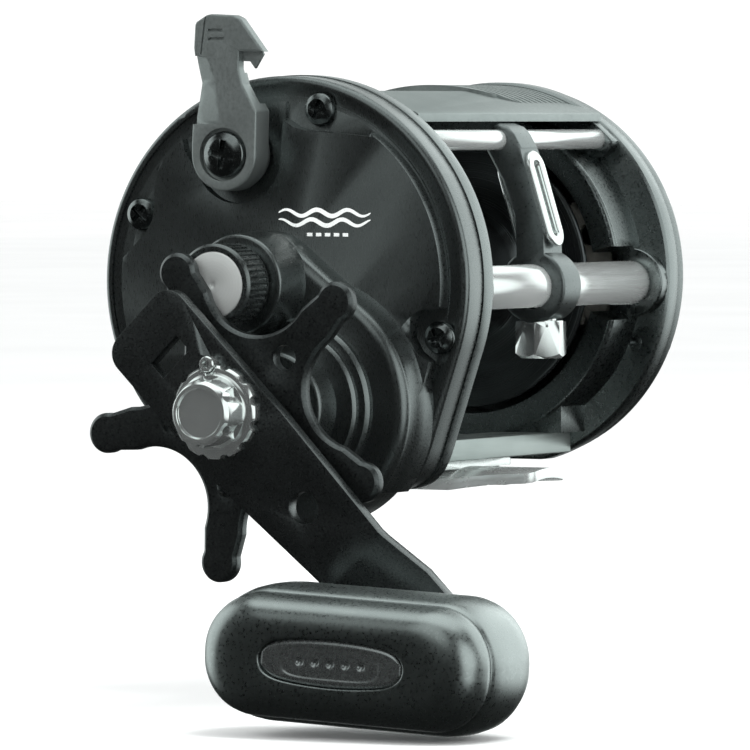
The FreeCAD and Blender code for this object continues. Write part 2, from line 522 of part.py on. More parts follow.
put("click_wheel", cw.removeSplitter())

# ================================================================ pinion, yoke
phi = math.atan2(DZ, DY)
pin_phase = phi + math.pi / Z_PINION
pg = gear(-8.0, -0.8, GEAR_MODULE, Z_PINION, SHIFT_X, BACKLASH, 0, 0, pin_phase, 0.05)
pn = fuse(pg, cyl(-0.9, 1.6, 4.2), cyl(1.5, 3.6, 2.95), cyl(3.5, 6.6, 4.7))
pn = pn.cut(cyl(-12, 9, SHAFT_END_R + 0.05)).cut(box(4.5, 8, -1.0, 1.0, -5.5, 5.5))
put("pinion", pn.removeSplitter())
YK0, YK1 = 1.95, 3.25
yk = cyl(YK0, YK1, 3.4, -10.6, 1.0).fuse(cyl(YK0, YK1, 3.4, 10.6, 1.0))
yk = yk.fuse(poly_yz([(-11.5, -2.3), (-11.5, 4.4), (-4.5, 8.2), (6.5, 9.4), (11.4, 8.4), (12.0, 4.4), (11.5, -2.3)], YK0, YK1))
yk = yk.fuse(box(YK0, YK1, LEVER_Y - 0.9, LEVER_Y + 0.9, 8.0, 13.6))
yk = yk.cut(box(YK0 - 1, YK1 + 1, -3.02, 3.02, -9, 0)).cut(cyl(YK0 - 1, YK1 + 1, 3.02))
for sy in (-1, 1):
    yk = yk.cut(cyl(0, 9, 1.25, 10.6 * sy, 1.0))
put("clutch_yoke", yk.removeSplitter())

# ================================================================ drive train on the crank axis
gear_phase = mate_phase(pin_phase, Z_PINION, Z_DRIVE, phi + math.pi)
# direction from the pinion centre to the gear centre is phi
gear_phase = mate_phase(pin_phase, Z_PINION, Z_DRIVE, phi)
dg = gear(-7.5, -3.5, GEAR_MODULE, Z_DRIVE, -SHIFT_X, BACKLASH, DY, DZ, gear_phase)
dg = dg.cut(cyl(-8.5, -4.7, 18.2, DY, DZ)).cut(cyl(-9, 0, 3.5, DY, DZ))
for i in range(5):
    a = 2 * math.pi * i / 5 + 0.3
    dg = dg.cut(cyl(-9, 0, 2.3, DY + 11.5 * math.cos(a), DZ + 11.5 * math.sin(a)))
put("drive_gear", dg)
put("drag_washers", Part.makeCompound([cyl(x, x + 0.8, 18.0, DY, DZ).cut(cyl(-9, 0, 3.7, DY, DZ)) for x in (-5.5, -6.9)]))
put("metal_washers", Part.makeCompound([cyl(x, x + 0.6, 17.8, DY, DZ).cut(cyl(-9, 0, 3.5, DY, DZ)) for x in (-6.1, -7.5)]))
put("drag_sleeve", fuse(cyl(-23.4, -7.5, 6.0, DY, DZ)).cut(cyl(-30, 0, 3.5, DY, DZ)))
N_RAT = 12
rp = []
for i in range(N_RAT):
    a0 = 2 * math.pi * i / N_RAT
    a1 = a0 + 2 * math.pi / N_RAT * 0.86
    rp.append((DY + 11.0 * math.cos(a0), DZ + 11.0 * math.sin(a0)))
    rp.append((DY + 8.8 * math.cos(a1), DZ + 8.8 * math.sin(a1)))
rat = poly_yz(rp, -0.9, 1.1).cut(cyl(-5, 5, 3.5, DY, DZ))
put("ratchet_wheel", rat)
ds = fuse(cyl(2.2, 6.8, 2.0, DY, DZ), cyl(-41.2, 2.2, 3.5, DY, DZ), cyl(-44.0, -41.2, 2.7, DY, DZ),
          cyl(1.1, 2.2, 5.0, DY, DZ), cyl(-3.5, -0.9, 4.6, DY, DZ))
ds = ds.cut(box(-41.3, -37.9, DY - 5, DY + 5, DZ + 2.7, DZ + 5)).cut(box(-41.3, -37.9, DY - 5, DY + 5, DZ - 5, DZ - 2.7))
put("drive_shaft", ds.removeSplitter())
put("crank_spacer", cyl(-38.2, -34.4, 6.4, DY, DZ).cut(cyl(-45, -30, 3.5, DY, DZ)))


# ---- star drag
def star_outline():
    arms = [45.4 + 72 * i for i in range(5)]
    tips = []
    tip_r, core, neck_w = 3.95, 30.0, 3.4
    base = cyl(STAR_X0, STAR_X1, 17.8, DY, DZ)
    parts = [base]
    for a in arms:
        ra = math.radians(a)
        ty, tz = DY - core * math.cos(ra), DZ + core * math.sin(ra)
        parts.append(cyl(STAR_X0, STAR_X1, tip_r, ty, tz))
        ny, nz = math.sin(ra), math.cos(ra)
        by, bz = DY - 8 * math.cos(ra), DZ + 8 * math.sin(ra)
        parts.append(poly_yz([(by + ny * 6.4, bz + nz * 6.4), (by - ny * 6.4, bz - nz * 6.4),
                              (ty - ny * neck_w, tz - nz * neck_w), (ty + ny * neck_w, tz + nz * neck_w)], STAR_X0, STAR_X1))
    s = parts[0].multiFuse(parts[1:]).removeSplitter()
    for a in arms:
        rv = math.radians(a + 36)
        vy, vz = DY - 26.6 * math.cos(rv), DZ + 26.6 * math.sin(rv)
        s = s.cut(cyl(STAR_X0 - 1, STAR_X1 + 1, 11.6, vy, vz))
    return s, arms


star, ARMS = star_outline()
star = safe_fillet(star, 1.2, lambda e: e.BoundBox.XLength > 2.5 and e.BoundBox.YLength < 0.01 and e.BoundBox.ZLength < 0.01)
star = safe_chamfer(star, 0.7, at_x(STAR_X0))
star = safe_chamfer(star, 0.4, at_x(STAR_X1))
for a in ARMS:
    ra = math.radians(a)
    star = star.cut(cyl(STAR_X0 - 1, STAR_X1 + 1, 2.5, DY - 14.7 * math.cos(ra), DZ + 14.7 * math.sin(ra)))
star = fuse(star, cyl(STAR_X1, -23.8, 7.4, DY, DZ), cyl(-33.9, STAR_X0, 6.8, DY, DZ))
star = star.cut(cyl(-40, -20, 3.56, DY, DZ))
put("star_wheel", star.removeSplitter())

# ---- crank arm, direction 45 degrees down and to the front
U_DIR = (-math.sin(math.radians(45)), -math.cos(math.radians(45)))   # along the arm (y, z)
N_DIR = (-U_DIR[1], U_DIR[0])


def arm_pt(t, n):
    return (DY + U_DIR[0] * t + N_DIR[0] * n, DZ + U_DIR[1] * t + N_DIR[1] * n)


W2 = CRANK_W / 2
side = [(-25.7, CRANK_X0), (10.0, CRANK_X0), (40.0, CRANK_X0 + 2.5), (51.0, CRANK_X0 + CRANK_SET), (78.1, CRANK_X0 + CRANK_SET),
        (78.1, CRANK_X1 + CRANK_SET), (50.2, CRANK_X1 + CRANK_SET), (39.4, CRANK_X1 + 2.5), (9.8, CRANK_X1), (-25.7, CRANK_X1)]


def arm_v(t, n, x):
    a = arm_pt(t, n)
    return V(x, a[0], a[1])


w = Part.makePolygon([arm_v(t, -W2, x) for t, x in side] + [arm_v(side[0][0], -W2, side[0][1])])
nv = arm_v(0, W2, 0) - arm_v(0, -W2, 0)
crank = Part.Face(w).extrude(nv)
crank = crank.removeSplitter()
# rounded knob end and counter end
p_end = arm_pt(KNOB_T, 0)
W3 = CRANK_NECK_W / 2
keep = cyl(-60, -20, W3, p_end[0], p_end[1])
q = [arm_pt(-25.7, -W2), arm_pt(10.0, -W2), arm_pt(41.0, -W3), arm_pt(KNOB_T, -W3),
     arm_pt(KNOB_T, W3), arm_pt(41.0, W3), arm_pt(10.0, W2), arm_pt(-25.7, W2)]
keep = keep.fuse(poly_yz(q, -60, -20)).removeSplitter()
keep = safe_fillet(keep, 4.2, lambda e: e.BoundBox.XLength > 30 and (
    (V(0, e.BoundBox.YMin, e.BoundBox.ZMin) - V(0, *arm_pt(-25.7, W2))).Length < 0.1 or
    (V(0, e.BoundBox.YMin, e.BoundBox.ZMin) - V(0, *arm_pt(-25.7, -W2))).Length < 0.1))
crank = crank.common(keep)
crank = safe_chamfer(crank, 0.45, lambda e: True)
win = [arm_pt(-14.9 - 2.05, -4.0), arm_pt(-14.9 + 2.05, -4.0), arm_pt(-14.9 + 2.05, 4.0), arm_pt(-14.9 - 2.05, 4.0)]
crank = crank.cut(poly_yz(win, -60, -20))
hp = arm_pt(25.8, 0)
crank = crank.cut(cyl(-60, -20, 3.15, hp[0], hp[1]))
shaft_cut = cyl(-60, -20, 3.5, DY, DZ).cut(box(-60, -20, DY - 5, DY + 5, DZ + 2.7, DZ + 5)).cut(
    box(-60, -20, DY - 5, DY + 5, DZ - 5, DZ - 2.7))
crank = crank.cut(shaft_cut)
LS = (DY + 1.2, DZ + 9.3)
crank = crank.cut(cyl(-60, -20, 0.9, LS[0], LS[1]))
crank = crank.cut(cyl(-60, -20, 2.4, p_end[0], p_end[1]))
put("crank_arm", crank)

# ---- crank nut
nut = turned([(-41.2, 0), (-41.2, 7.9), (-42.9, 7.9), (-43.4, 7.2), (-47.9, 6.3), (-48.7, 5.6), (-48.7, 5.0), (-48.1, 4.7), (-48.1, 0)], DY, DZ)
nut_fl = cyl(-43.0, -41.2, 9.1, DY, DZ)
nut_fl = safe_chamfer(nut_fl, 0.5, at_x(-43.0))
for i in range(12):
    a = 2 * math.pi * (i + 0.5) / 12
    nut_fl = nut_fl.cut(cyl(-44, -40, 1.15, DY + 9.6 * math.cos(a), DZ + 9.6 * math.sin(a)))
nut = fuse(nut, nut_fl)
for i in range(6):
    a = 2 * math.pi * i / 6
    sc = cyl(-50, -43.6, 2.2, 0, 8.2)
    sc.rotate(V(0, 0, 0), V(1, 0, 0), 60 * i)
    sc.translate(V(0, DY, DZ))
    nut = nut.cut(sc)
nut = nut.cut(cyl(-44.1, -41, 2.7, DY, DZ))
nut = nut.cut(cyl(-60, -20, 1.75, LS[0], LS[1]))
put("crank_nut", nut.removeSplitter())
ls = fuse(cyl(-43.7, -41.2, 1.6, LS[0], LS[1]), cyl(-41.2, -38.4, 0.85, LS[0], LS[1]))
ls = safe_chamfer(ls, 0.25, at_x(-43.7)).cut(cyl(-44, -42.6, 0.85, LS[0], LS[1]))
put("lock_screw", ls)

# ---- knob: shaft on the crank, turning grip
KX = CRANK_X0 + CRANK_SET                             # front face of the crank at the knob
KI = CRANK_X1 + CRANK_SET
kn_y, kn_z = p_end
kshaft = fuse(cyl(-76.0, KI + 0.4, 2.4, kn_y, kn_z), cyl(KX - 2.7, KX, 5.2, kn_y, kn_z), cyl(KI, KI + 1.6, 4.6, kn_y, kn_z))
kshaft = kshaft.fuse(cyl(-76.0, -74.6, 4.0, kn_y, kn_z)).removeSplitter()
put("knob_shaft", kshaft)


def rounded_bar(x, ly, lz, r, cy, cz, tilt):
    """Wire of a rounded rectangle of size ly x lz at plane x."""
    hy, hz = ly / 2 - r, lz / 2 - r
    e = []
    c45 = r * math.sqrt(0.5)
    corners = [(hy, hz, 0), (-hy, hz, 90), (-hy, -hz, 180), (hy, -hz, 270)]
    prev = None
    first = None
    for (a, b, s0) in corners:
        p0 = V(x, a + r * math.cos(math.radians(s0)), b + r * math.sin(math.radians(s0)))
        pm = V(x, a + r * math.cos(math.radians(s0 + 45)), b + r * math.sin(math.radians(s0 + 45)))
        p1 = V(x, a + r * math.cos(math.radians(s0 + 90)), b + r * math.sin(math.radians(s0 + 90)))
        if prev is not None:
            e.append(Part.makeLine(prev, p0))
        else:
            first = p0
        e.append(Part.Arc(p0, pm, p1).toShape())
        prev = p1
    e.append(Part.makeLine(prev, first))
    w = Part.Wire(e)
    w.rotate(V(0, 0, 0), V(1, 0, 0), tilt)
    w.translate(V(0, cy, cz))
    return w


TILT = 2.8
sections = [(-79.6, 49.0, 17.0, 7.8), (-78.4, 53.4, 20.6, 9.4), (-75.5, 58.0, 24.0, 11.2), (-71.0, 60.4, 26.0, 12.3),
            (-65.0, 61.4, 26.6, 12.7), (-58.0, 61.2, 26.6, 12.7), (-53.0, 58.4, 25.4, 12.2), (-49.5, 51.0, 22.8, 10.9),
            (-47.0, 40.0, 20.0, 9.6), (-44.5, 22.0, 16.0, 7.9)]
loft = Part.makeLoft([rounded_bar(x, a, b, r, kn_y, kn_z, TILT) for x, a, b, r in sections], True, False)
neckk = cyl(-44.8, KX - 3.0, 6.6, kn_y, kn_z)
knob = fuse(loft, neckk)
knob = knob.cut(cyl(-74.5, -30, 2.46, kn_y, kn_z)).cut(cyl(-77.0, -73.6, 4.3, kn_y, kn_z))


def boat(x0, x1, ln, ht, bow):
    """Badge outline: long sides bowed slightly, ends rounded."""
    h = ln / 2
    p = [V(x0, -h + 1.6, ht / 2), V(x0, 0, ht / 2 + bow), V(x0, h - 1.6, ht / 2)]
    e = [Part.Arc(*p).toShape()]
    e.append(Part.Arc(V(x0, h - 1.6, ht / 2), V(x0, h, 0), V(x0, h - 1.6, -ht / 2)).toShape())
    e.append(Part.Arc(V(x0, h - 1.6, -ht / 2), V(x0, 0, -ht / 2 - bow), V(x0, -h + 1.6, -ht / 2)).toShape())
    e.append(Part.Arc(V(x0, -h + 1.6, -ht / 2), V(x0, -h, 0), V(x0, -h + 1.6, ht / 2)).toShape())
    s = Part.Face(Part.Wire(e)).extrude(V(x1 - x0, 0, 0))
    s.rotate(V(0, 0, 0), V(1, 0, 0), TILT)
    s.translate(V(0, kn_y, kn_z))
    return s


BADGE_L, BADGE_H = 30.4, 8.9
knob = knob.cut(boat(-80.5, -78.3, BADGE_L + 0.2, BADGE_H + 0.2, 0.9))
put("knob_grip", knob.removeSplitter())
badge = boat(-79.3, -78.3, BADGE_L, BADGE_H, 0.9)
badge = safe_chamfer(badge, 0.3, at_x(-79.3))
for i in range(5):
    c = cyl(-79.6, -78.9, 0.8, 3.26 * (i - 2), 0)
    c.rotate(V(0, 0, 0), V(1, 0, 0), TILT)
    c.translate(V(0, kn_y, kn_z))
    badge = badge.cut(c)
put("knob_badge", badge)

# ================================================================ free-spool lever
ly, lz = LEVER_Y, LEVER_Z
LVX0, LVX1 = -9.6, -4.0
outline = [(1.3, 26.0), (1.1, 34.0), (4.25, 39.3), (5.1, 42.5), (5.0, 45.8), (-0.5, 45.7), (4.65, 52.3), (6.1, 52.95), (11.2, 53.2),
           (12.3, 53.0), (14.9, 51.5), (15.1, 48.3), (15.2, 46.5), (14.7, 42.7), (14.1, 39.5), (15.4, 33.0), (15.68, 27.0), (15.6, 24.4), (1.4, 24.4)]
arm = poly_yz(outline, LVX0, LVX1)
hub = cyl(LVX0, LVX1, 7.2, ly, lz)
hook = poly_yz([(6.4, 46.5), (6.0, 43.9), (3.2, 43.8), (2.1, 42.4), (0.3, 45.2), (1.2, 47.0)], LVX0 + 1.6, LVX1)
lev = fuse(arm, hub, hook)
lev = safe_fillet(lev, 1.2, lambda e: e.BoundBox.XLength > 5 and e.BoundBox.YLength < 0.01 and e.BoundBox.ZLength < 0.01 and e.BoundBox.ZMin > 30
                  and not (e.BoundBox.YMin < 1.0) and not (abs(e.BoundBox.ZMin - 45.8) < 0.2))
lev = safe_fillet(lev, 0.5, at_x(LVX0))


def facet(z, yr, dx):
    p = [V(LVX0 - 0.3, yr - 0.3, z), V(LVX0 - 0.3, 18.5, z), V(LVX0 + dx, 18.5, z)]
    return Part.makePolygon(p + [p[0]])


lev = lev.cut(Part.makeLoft([facet(31.4, 8.4, 2.9), facet(39.7, 9.6, 3.6), facet(44.9, 11.7, 2.6)], True, True))
for (ya, yb, zz) in ((8.6, 11.9, 50.0), (8.2, 11.9, 48.3)):
    lev = lev.cut(box(LVX0 - 0.2, LVX0 + 0.6, ya, yb, zz - 0.3, zz + 0.3))
gr = poly_yz([(12.1, 53.6), (12.55, 53.6), (13.7, 45.2), (13.3, 45.0)], LVX0 - 0.3, LVX0 + 0.45)
lev = lev.cut(gr)
lev = lev.cut(box(-7.2, LVX1 + 1, -5, 20, 41.6, 56)).cut(box(-6.2, LVX1 + 1, -5, 20, 35.5, 42))   # thin above the hub
lev = lev.fuse(cyl(LVX1, -1.8, 6.4, ly, lz)).removeSplitter()
lev = lev.cut(cyl(LVX0 - 1, LVX0 + 1.2, 5.3, ly, lz)).cut(cyl(-12, 0, 2.2, ly, lz))
put("lever_arm", lev)
# shaft with the inner cam that lifts the yoke
csh = fuse(cyl(-8.2, -1.8, 2.2, ly, lz), cyl(-1.8, 4.4, 2.55, ly, lz))
LEVER_RANGE = 32.0
put("lever_screw", pan_screw(-10.3, 4.6, 1.9, 1.2, 4.0, ly, lz, 1, 8))
csh = csh.cut(cyl(-8.4, -4.2, 1.2, ly, lz))
cam_r = 15.0
cam = cyl(1.9, 4.4, 5.0, ly, lz)
cam = cam.fuse(poly_yz([(ly - 8.2, lz - cam_r), (ly + 2.4, lz - cam_r), (ly + 3.0, lz - 2.0), (ly - 3.4, lz - 2.0), (ly - 8.2, lz - 11.0)], 3.9, 4.4))
ramp = Part.Face(Part.makePolygon([V(4.2, ly + 1.0, 0), V(3.85, ly + 1.0, 0), V(3.85, ly, 0), V(1.35, ly - 6.9, 0), V(1.35, ly - 8.2, 0),
                                   V(4.2, ly - 8.2, 0), V(4.2, ly + 1.0, 0)])).extrude(V(0, 0, 3.6))
ramp.translate(V(0, 0, lz - cam_r))
cam = cam.fuse(ramp).common(cyl(0, 9, cam_r, ly, lz))
put("lever_cam", fuse(csh, cam).cut(cyl(-8.4, -4.2, 1.2, ly, lz)))

# ================================================================ cast control cap
cap = cyl(CAP_FACE_X, -20.6, 8.1)
cap = safe_chamfer(cap, 0.55, lambda e: at_x(CAP_FACE_X)(e) or at_x(-20.6)(e))
for i in range(40):
    a = 360.0 * i / 40
    g = box(CAP_FACE_X + 0.9, -21.3, -0.35, 0.35, 7.75, 9.0)
    g.rotate(V(0, 0, 0), V(1, 0, 0), a)
    cap = cap.cut(g)
cap = cap.cut(cyl(-25.9, -20, 5.56)).cut(cyl(CAP_FACE_X - 1, CAP_FACE_X + 0.5, 6.6))
put("cast_cap", cap)
inset = turned([(-28.6, 0), (-28.6, 6.6), (-29.0, 6.6), (-29.15, 6.2), (-29.15, 0)]).cut(
    turned([(-29.4, 0), (-29.4, 0.9), (-28.9, 0.5), (-28.9, 0)]))
put("cast_cap_inset", inset)
put("cast_thrust_pad", cyl(-25.9, -25.25, 4.6).fuse(cyl(-25.3, -24.1, 2.6)).removeSplitter())

# ================================================================ anti-reverse dog
dog_y, dog_z = DY + 17.6, DZ + 6.6
dog = cyl(-0.7, 0.9, 2.6, dog_y, dog_z)
dog = dog.fuse(poly_yz([(dog_y - 0.6, dog_z + 2.5), (DY + 10.6, DZ + 8.6), (DY + 10.0, DZ + 7.0), (dog_y - 0.5, dog_z - 2.5)], -0.7, 0.9))
dog = dog.cut(cyl(-3, 3, 1.25, dog_y, dog_z))
put("anti_reverse_dog", dog.removeSplitter())
put("dog_pin", cyl(-1.5, 3.0, 1.2, dog_y, dog_z).fuse(cyl(1.2, 3.0, 2.4, dog_y, dog_z)).removeSplitter())

# ================================================================ levelwind train
i_phase = mate_phase(sg_phase, Z_SPOOLGEAR, Z_IDLER, I_ANG)
idl = gear(SGX0, SGX1, LW_MODULE, Z_IDLER, -0.25, 0.10, IY, IZ, i_phase).cut(cyl(90, 110, 1.55, IY, IZ))
for i in range(4):
    a = math.pi / 2 * i + 0.4
    idl = idl.cut(cyl(90, 110, 2.4, IY + 6.6 * math.cos(a), IZ + 6.6 * math.sin(a)))
put("idler_gear", idl)
a2 = math.atan2(WZ - IZ, WY - IY)
w_phase = mate_phase(i_phase, Z_IDLER, Z_WORM, a2)
wg = gear(SGX0, SGX1, LW_MODULE, Z_WORM, 0.25, 0.10, WY, WZ, w_phase).cut(cyl(90, 110, 1.6, WY, WZ))
put("worm_gear", wg)
worm = cyl(13.0, 91.0, WORM_R, WY, WZ)
turns, pitch = 3.5, 15.0
for hand in (False, True):
    hx = Part.makeHelix(pitch, turns * pitch, WORM_R, 0, hand)
    prof_w = Part.makePolygon([V(WORM_R + 0.6, 0, -0.8), V(WORM_R + 0.6, 0, 0.8), V(WORM_R - 1.1, 0, 0.55), V(WORM_R - 1.1, 0, -0.55), V(WORM_R + 0.6, 0, -0.8)])
    sw = Part.Wire(hx).makePipeShell([prof_w], True, True)
    sw.rotate(V(0, 0, 0), V(0, 1, 0), 90)
    sw.translate(V(X_MID - turns * pitch / 2, WY, WZ))
    worm = worm.cut(sw)
worm = worm.fuse(cyl(9.0, 13.2, 1.9, WY, WZ)).fuse(cyl(90.8, 101.0, 1.6, WY, WZ))
put("worm_shaft", worm.removeSplitter())
put("worm_bush_right", cyl(7.4, 11.6, TUBE_BORE, WY, WZ).cut(cyl(8.8, 14, 1.95, WY, WZ)))
put("worm_bush_left", cyl(92.6, 96.4, TUBE_BORE, WY, WZ).cut(cyl(90, 99, 1.65, WY, WZ)))

# ================================================================ line guide
gx0, gx1 = GUIDE_X - 4.1, GUIDE_X + 4.1
collar = safe_fillet(cyl(gx0, gx1, 7.3, WY, WZ), 0.7, lambda e: True)
armp = [(WY - 2.4, WZ + 5.0), (WY + 3.4, WZ + 6.0), (-28.9, 12.0), (-25.7, 20.0), (-22.2, 26.0), (-21.6, 28.2), (-21.9, 30.2),
        (-23.4, 31.25), (-24.9, 31.5), (-27.0, 30.8), (-28.4, 29.4), (-30.6, 25.5), (-33.8, 18.0), (-35.0, 12.0), (-35.3, 5.0)]
garm = poly_yz(armp, gx0, gx1)
garm = safe_fillet(garm, 0.8, lambda e: (abs(e.BoundBox.XLength) < 0.01 and e.BoundBox.ZMin > 6.5))
gd = fuse(collar, garm)
gd = gd.cut(cyl(0, 100, TUBE_R + 0.06, WY, WZ)).cut(cyl(0, 100, ROD_R + 0.06, ROD_Y, ROD_Z))


def arm_dir():
    a = V(0, -33.0, 6.0)
    b = V(0, -27.2, 24.6)
    return a, b


EA, EB = arm_dir()
ec = (EA + EB) * 0.5 + V(GUIDE_X, 0, 0)
tilt_e = math.degrees(math.atan2(EB.y - EA.y, EB.z - EA.z))


def slot_prism(ln, wd, depth, yoff=0.0):
    """Upright rounded slot, through along Y, tilted with the arm."""
    h = ln / 2 - wd / 2
    s = Part.makeCylinder(wd / 2, depth, V(0, -depth / 2 + yoff, h), V(0, 1, 0)).fuse(
        Part.makeCylinder(wd / 2, depth, V(0, -depth / 2 + yoff, -h), V(0, 1, 0))).fuse(
        Part.makeBox(wd, depth, 2 * h, V(-wd / 2, -depth / 2 + yoff, -h))).removeSplitter()
    s.rotate(V(0, 0, 0), V(1, 0, 0), -tilt_e)
    s.translate(ec)
    return s


gd = gd.cut(Part.makeCylinder(3.2, 8, V(GUIDE_X, WY, WZ - 9), V(0, 0, 1)))
flat = Part.makeBox(12, 10, 21.6, V(-6, -13.1, -10.8))
flat.rotate(V(0, 0, 0), V(1, 0, 0), -tilt_e)
flat.translate(ec)
gd = gd.cut(flat)                                       # flat seat under the eyelet's front lip
ring = slot_prism(20.2, 7.0, 1.2, -3.4).fuse(slot_prism(18.6, 5.4, 7.6, 0)).fuse(slot_prism(19.6, 6.4, 0.8, 3.4)).removeSplitter()
gd = gd.cut(ring)
put("guide_carriage", gd.removeSplitter())
ring = ring.cut(slot_prism(15.8, 2.6, 20))
put("line_eyelet", ring.removeSplitter())
hexp = []
for i in range(6):
    a = math.radians(60 * i + 12)
    hexp.append((GUIDE_X + 5.3 * math.cos(a), WY + 5.3 * math.sin(a)))
capn = poly_xy(hexp, WZ - 14.5, WZ - 7.1)
capn = capn.common(Part.makeCone(4.2, 5.9, 1.5, V(GUIDE_X, WY, WZ - 14.5), V(0, 0, 1)).fuse(
    Part.makeCylinder(5.9, 6, V(GUIDE_X, WY, WZ - 13.0), V(0, 0, 1))))
capn = capn.fuse(Part.makeCylinder(4.6, 1.3, V(GUIDE_X, WY, WZ - 8.2), V(0, 0, 1))).fuse(
    Part.makeCylinder(3.2, 2.4, V(GUIDE_X, WY, WZ - 8.6), V(0, 0, 1)))
capn = capn.cut(Part.makeCylinder(1.3, 8, V(GUIDE_X, WY, WZ - 13.4), V(0, 0, 1)))
capn = capn.cut(cyl(0, 100, TUBE_R + 0.2, WY, WZ)).cut(Part.makeCylinder(7.29, 20, V(GUIDE_X - 10, WY, WZ), V(1, 0, 0)).cut(
    Part.makeCylinder(3.19, 30, V(GUIDE_X, WY, WZ - 15), V(0, 0, 1))))
put("pawl_cap", capn.removeSplitter())
pw = Part.makeCylinder(1.25, 8.6, V(GUIDE_X, WY, WZ - 12.2), V(0, 0, 1))
pw = pw.cut(cyl(0, 100, WORM_R + 0.12, WY, WZ))
put("pawl", pw.removeSplitter())

# ================================================================ clicker
ck = box(103.4, 106.4, CK_Y - 1.5, CK_Y + 1.5, CK_Z - 1.5, CK_Z + 1.5)
ck = fuse(ck, Part.makeCylinder(4.2, 2.0, V(106.0, CK_Y, CK_Z), V(1, 0, 0)))
ck = safe_fillet(ck, 0.7, at_x(108.0))
for i in range(3):
    ck = ck.cut(box(107.4, 109, CK_Y - 3.2, CK_Y + 3.2, CK_Z - 2.3 + 1.9 * i, CK_Z - 1.5 + 1.9 * i))
put("click_button", ck.removeSplitter())

os.makedirs("parts", exist_ok=True)
for name in sorted(PARTS):
    s = PARTS[name]
    s.exportStep("parts/%s.step" % name)
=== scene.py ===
import bpy
import bmesh
import json
import math
import random
from mathutils import Vector, Matrix
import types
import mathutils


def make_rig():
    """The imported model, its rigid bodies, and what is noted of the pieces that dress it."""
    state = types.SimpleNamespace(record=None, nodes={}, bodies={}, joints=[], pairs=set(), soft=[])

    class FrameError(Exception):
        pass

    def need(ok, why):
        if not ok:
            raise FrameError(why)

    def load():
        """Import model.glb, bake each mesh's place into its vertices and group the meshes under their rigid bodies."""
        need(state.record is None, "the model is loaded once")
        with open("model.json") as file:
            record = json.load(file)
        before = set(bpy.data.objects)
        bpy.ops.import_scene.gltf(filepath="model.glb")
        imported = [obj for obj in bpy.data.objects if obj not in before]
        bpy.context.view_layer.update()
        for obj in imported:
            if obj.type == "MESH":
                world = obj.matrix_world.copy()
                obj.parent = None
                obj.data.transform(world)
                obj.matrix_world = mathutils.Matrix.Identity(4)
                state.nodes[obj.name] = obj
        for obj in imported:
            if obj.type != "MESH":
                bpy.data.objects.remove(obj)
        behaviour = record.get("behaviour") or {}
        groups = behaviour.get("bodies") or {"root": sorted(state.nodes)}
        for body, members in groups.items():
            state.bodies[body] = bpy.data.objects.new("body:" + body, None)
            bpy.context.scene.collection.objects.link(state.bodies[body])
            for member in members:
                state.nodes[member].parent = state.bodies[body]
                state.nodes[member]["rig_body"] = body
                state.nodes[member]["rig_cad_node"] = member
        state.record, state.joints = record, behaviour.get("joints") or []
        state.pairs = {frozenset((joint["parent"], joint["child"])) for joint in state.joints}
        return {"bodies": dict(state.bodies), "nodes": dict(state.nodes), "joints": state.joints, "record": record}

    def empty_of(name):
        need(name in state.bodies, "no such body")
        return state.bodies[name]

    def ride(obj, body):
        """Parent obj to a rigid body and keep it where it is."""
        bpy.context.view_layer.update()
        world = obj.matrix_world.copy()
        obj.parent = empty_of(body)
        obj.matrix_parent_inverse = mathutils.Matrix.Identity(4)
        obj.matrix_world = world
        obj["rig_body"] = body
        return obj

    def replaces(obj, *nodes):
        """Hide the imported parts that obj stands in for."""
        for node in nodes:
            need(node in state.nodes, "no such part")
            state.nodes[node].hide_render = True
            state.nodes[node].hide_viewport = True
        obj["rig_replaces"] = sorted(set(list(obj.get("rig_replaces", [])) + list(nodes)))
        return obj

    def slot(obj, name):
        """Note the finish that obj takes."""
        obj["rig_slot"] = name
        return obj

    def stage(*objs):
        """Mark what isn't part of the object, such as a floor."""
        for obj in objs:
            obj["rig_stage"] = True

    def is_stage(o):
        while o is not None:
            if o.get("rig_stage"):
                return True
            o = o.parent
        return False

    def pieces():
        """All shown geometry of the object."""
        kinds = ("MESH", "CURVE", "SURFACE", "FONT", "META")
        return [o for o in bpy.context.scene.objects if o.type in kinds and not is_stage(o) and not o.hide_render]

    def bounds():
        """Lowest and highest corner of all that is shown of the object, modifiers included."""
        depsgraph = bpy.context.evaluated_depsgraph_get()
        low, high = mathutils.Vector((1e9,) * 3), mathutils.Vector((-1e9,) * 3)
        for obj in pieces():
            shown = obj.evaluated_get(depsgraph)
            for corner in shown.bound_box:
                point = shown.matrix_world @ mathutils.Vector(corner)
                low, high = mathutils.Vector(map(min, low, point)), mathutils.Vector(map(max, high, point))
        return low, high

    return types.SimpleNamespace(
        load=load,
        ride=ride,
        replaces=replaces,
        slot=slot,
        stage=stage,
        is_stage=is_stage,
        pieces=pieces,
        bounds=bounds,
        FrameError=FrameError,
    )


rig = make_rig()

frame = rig.load()
cad_lo, cad_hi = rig.bounds()
nodes = frame["nodes"]
scene = bpy.context.scene

# spool axis and helper frame: x0 is the handle-side rim face, axis height from the CAD
AX_X0 = -0.052
AX_Z = 0.0386


def W(x, y, z):
    """Working coordinates in mm (x from the rim face, y rear, z above the spool axis) to metres."""
    return Vector((x / 1000 + AX_X0, y / 1000, z / 1000 + AX_Z))


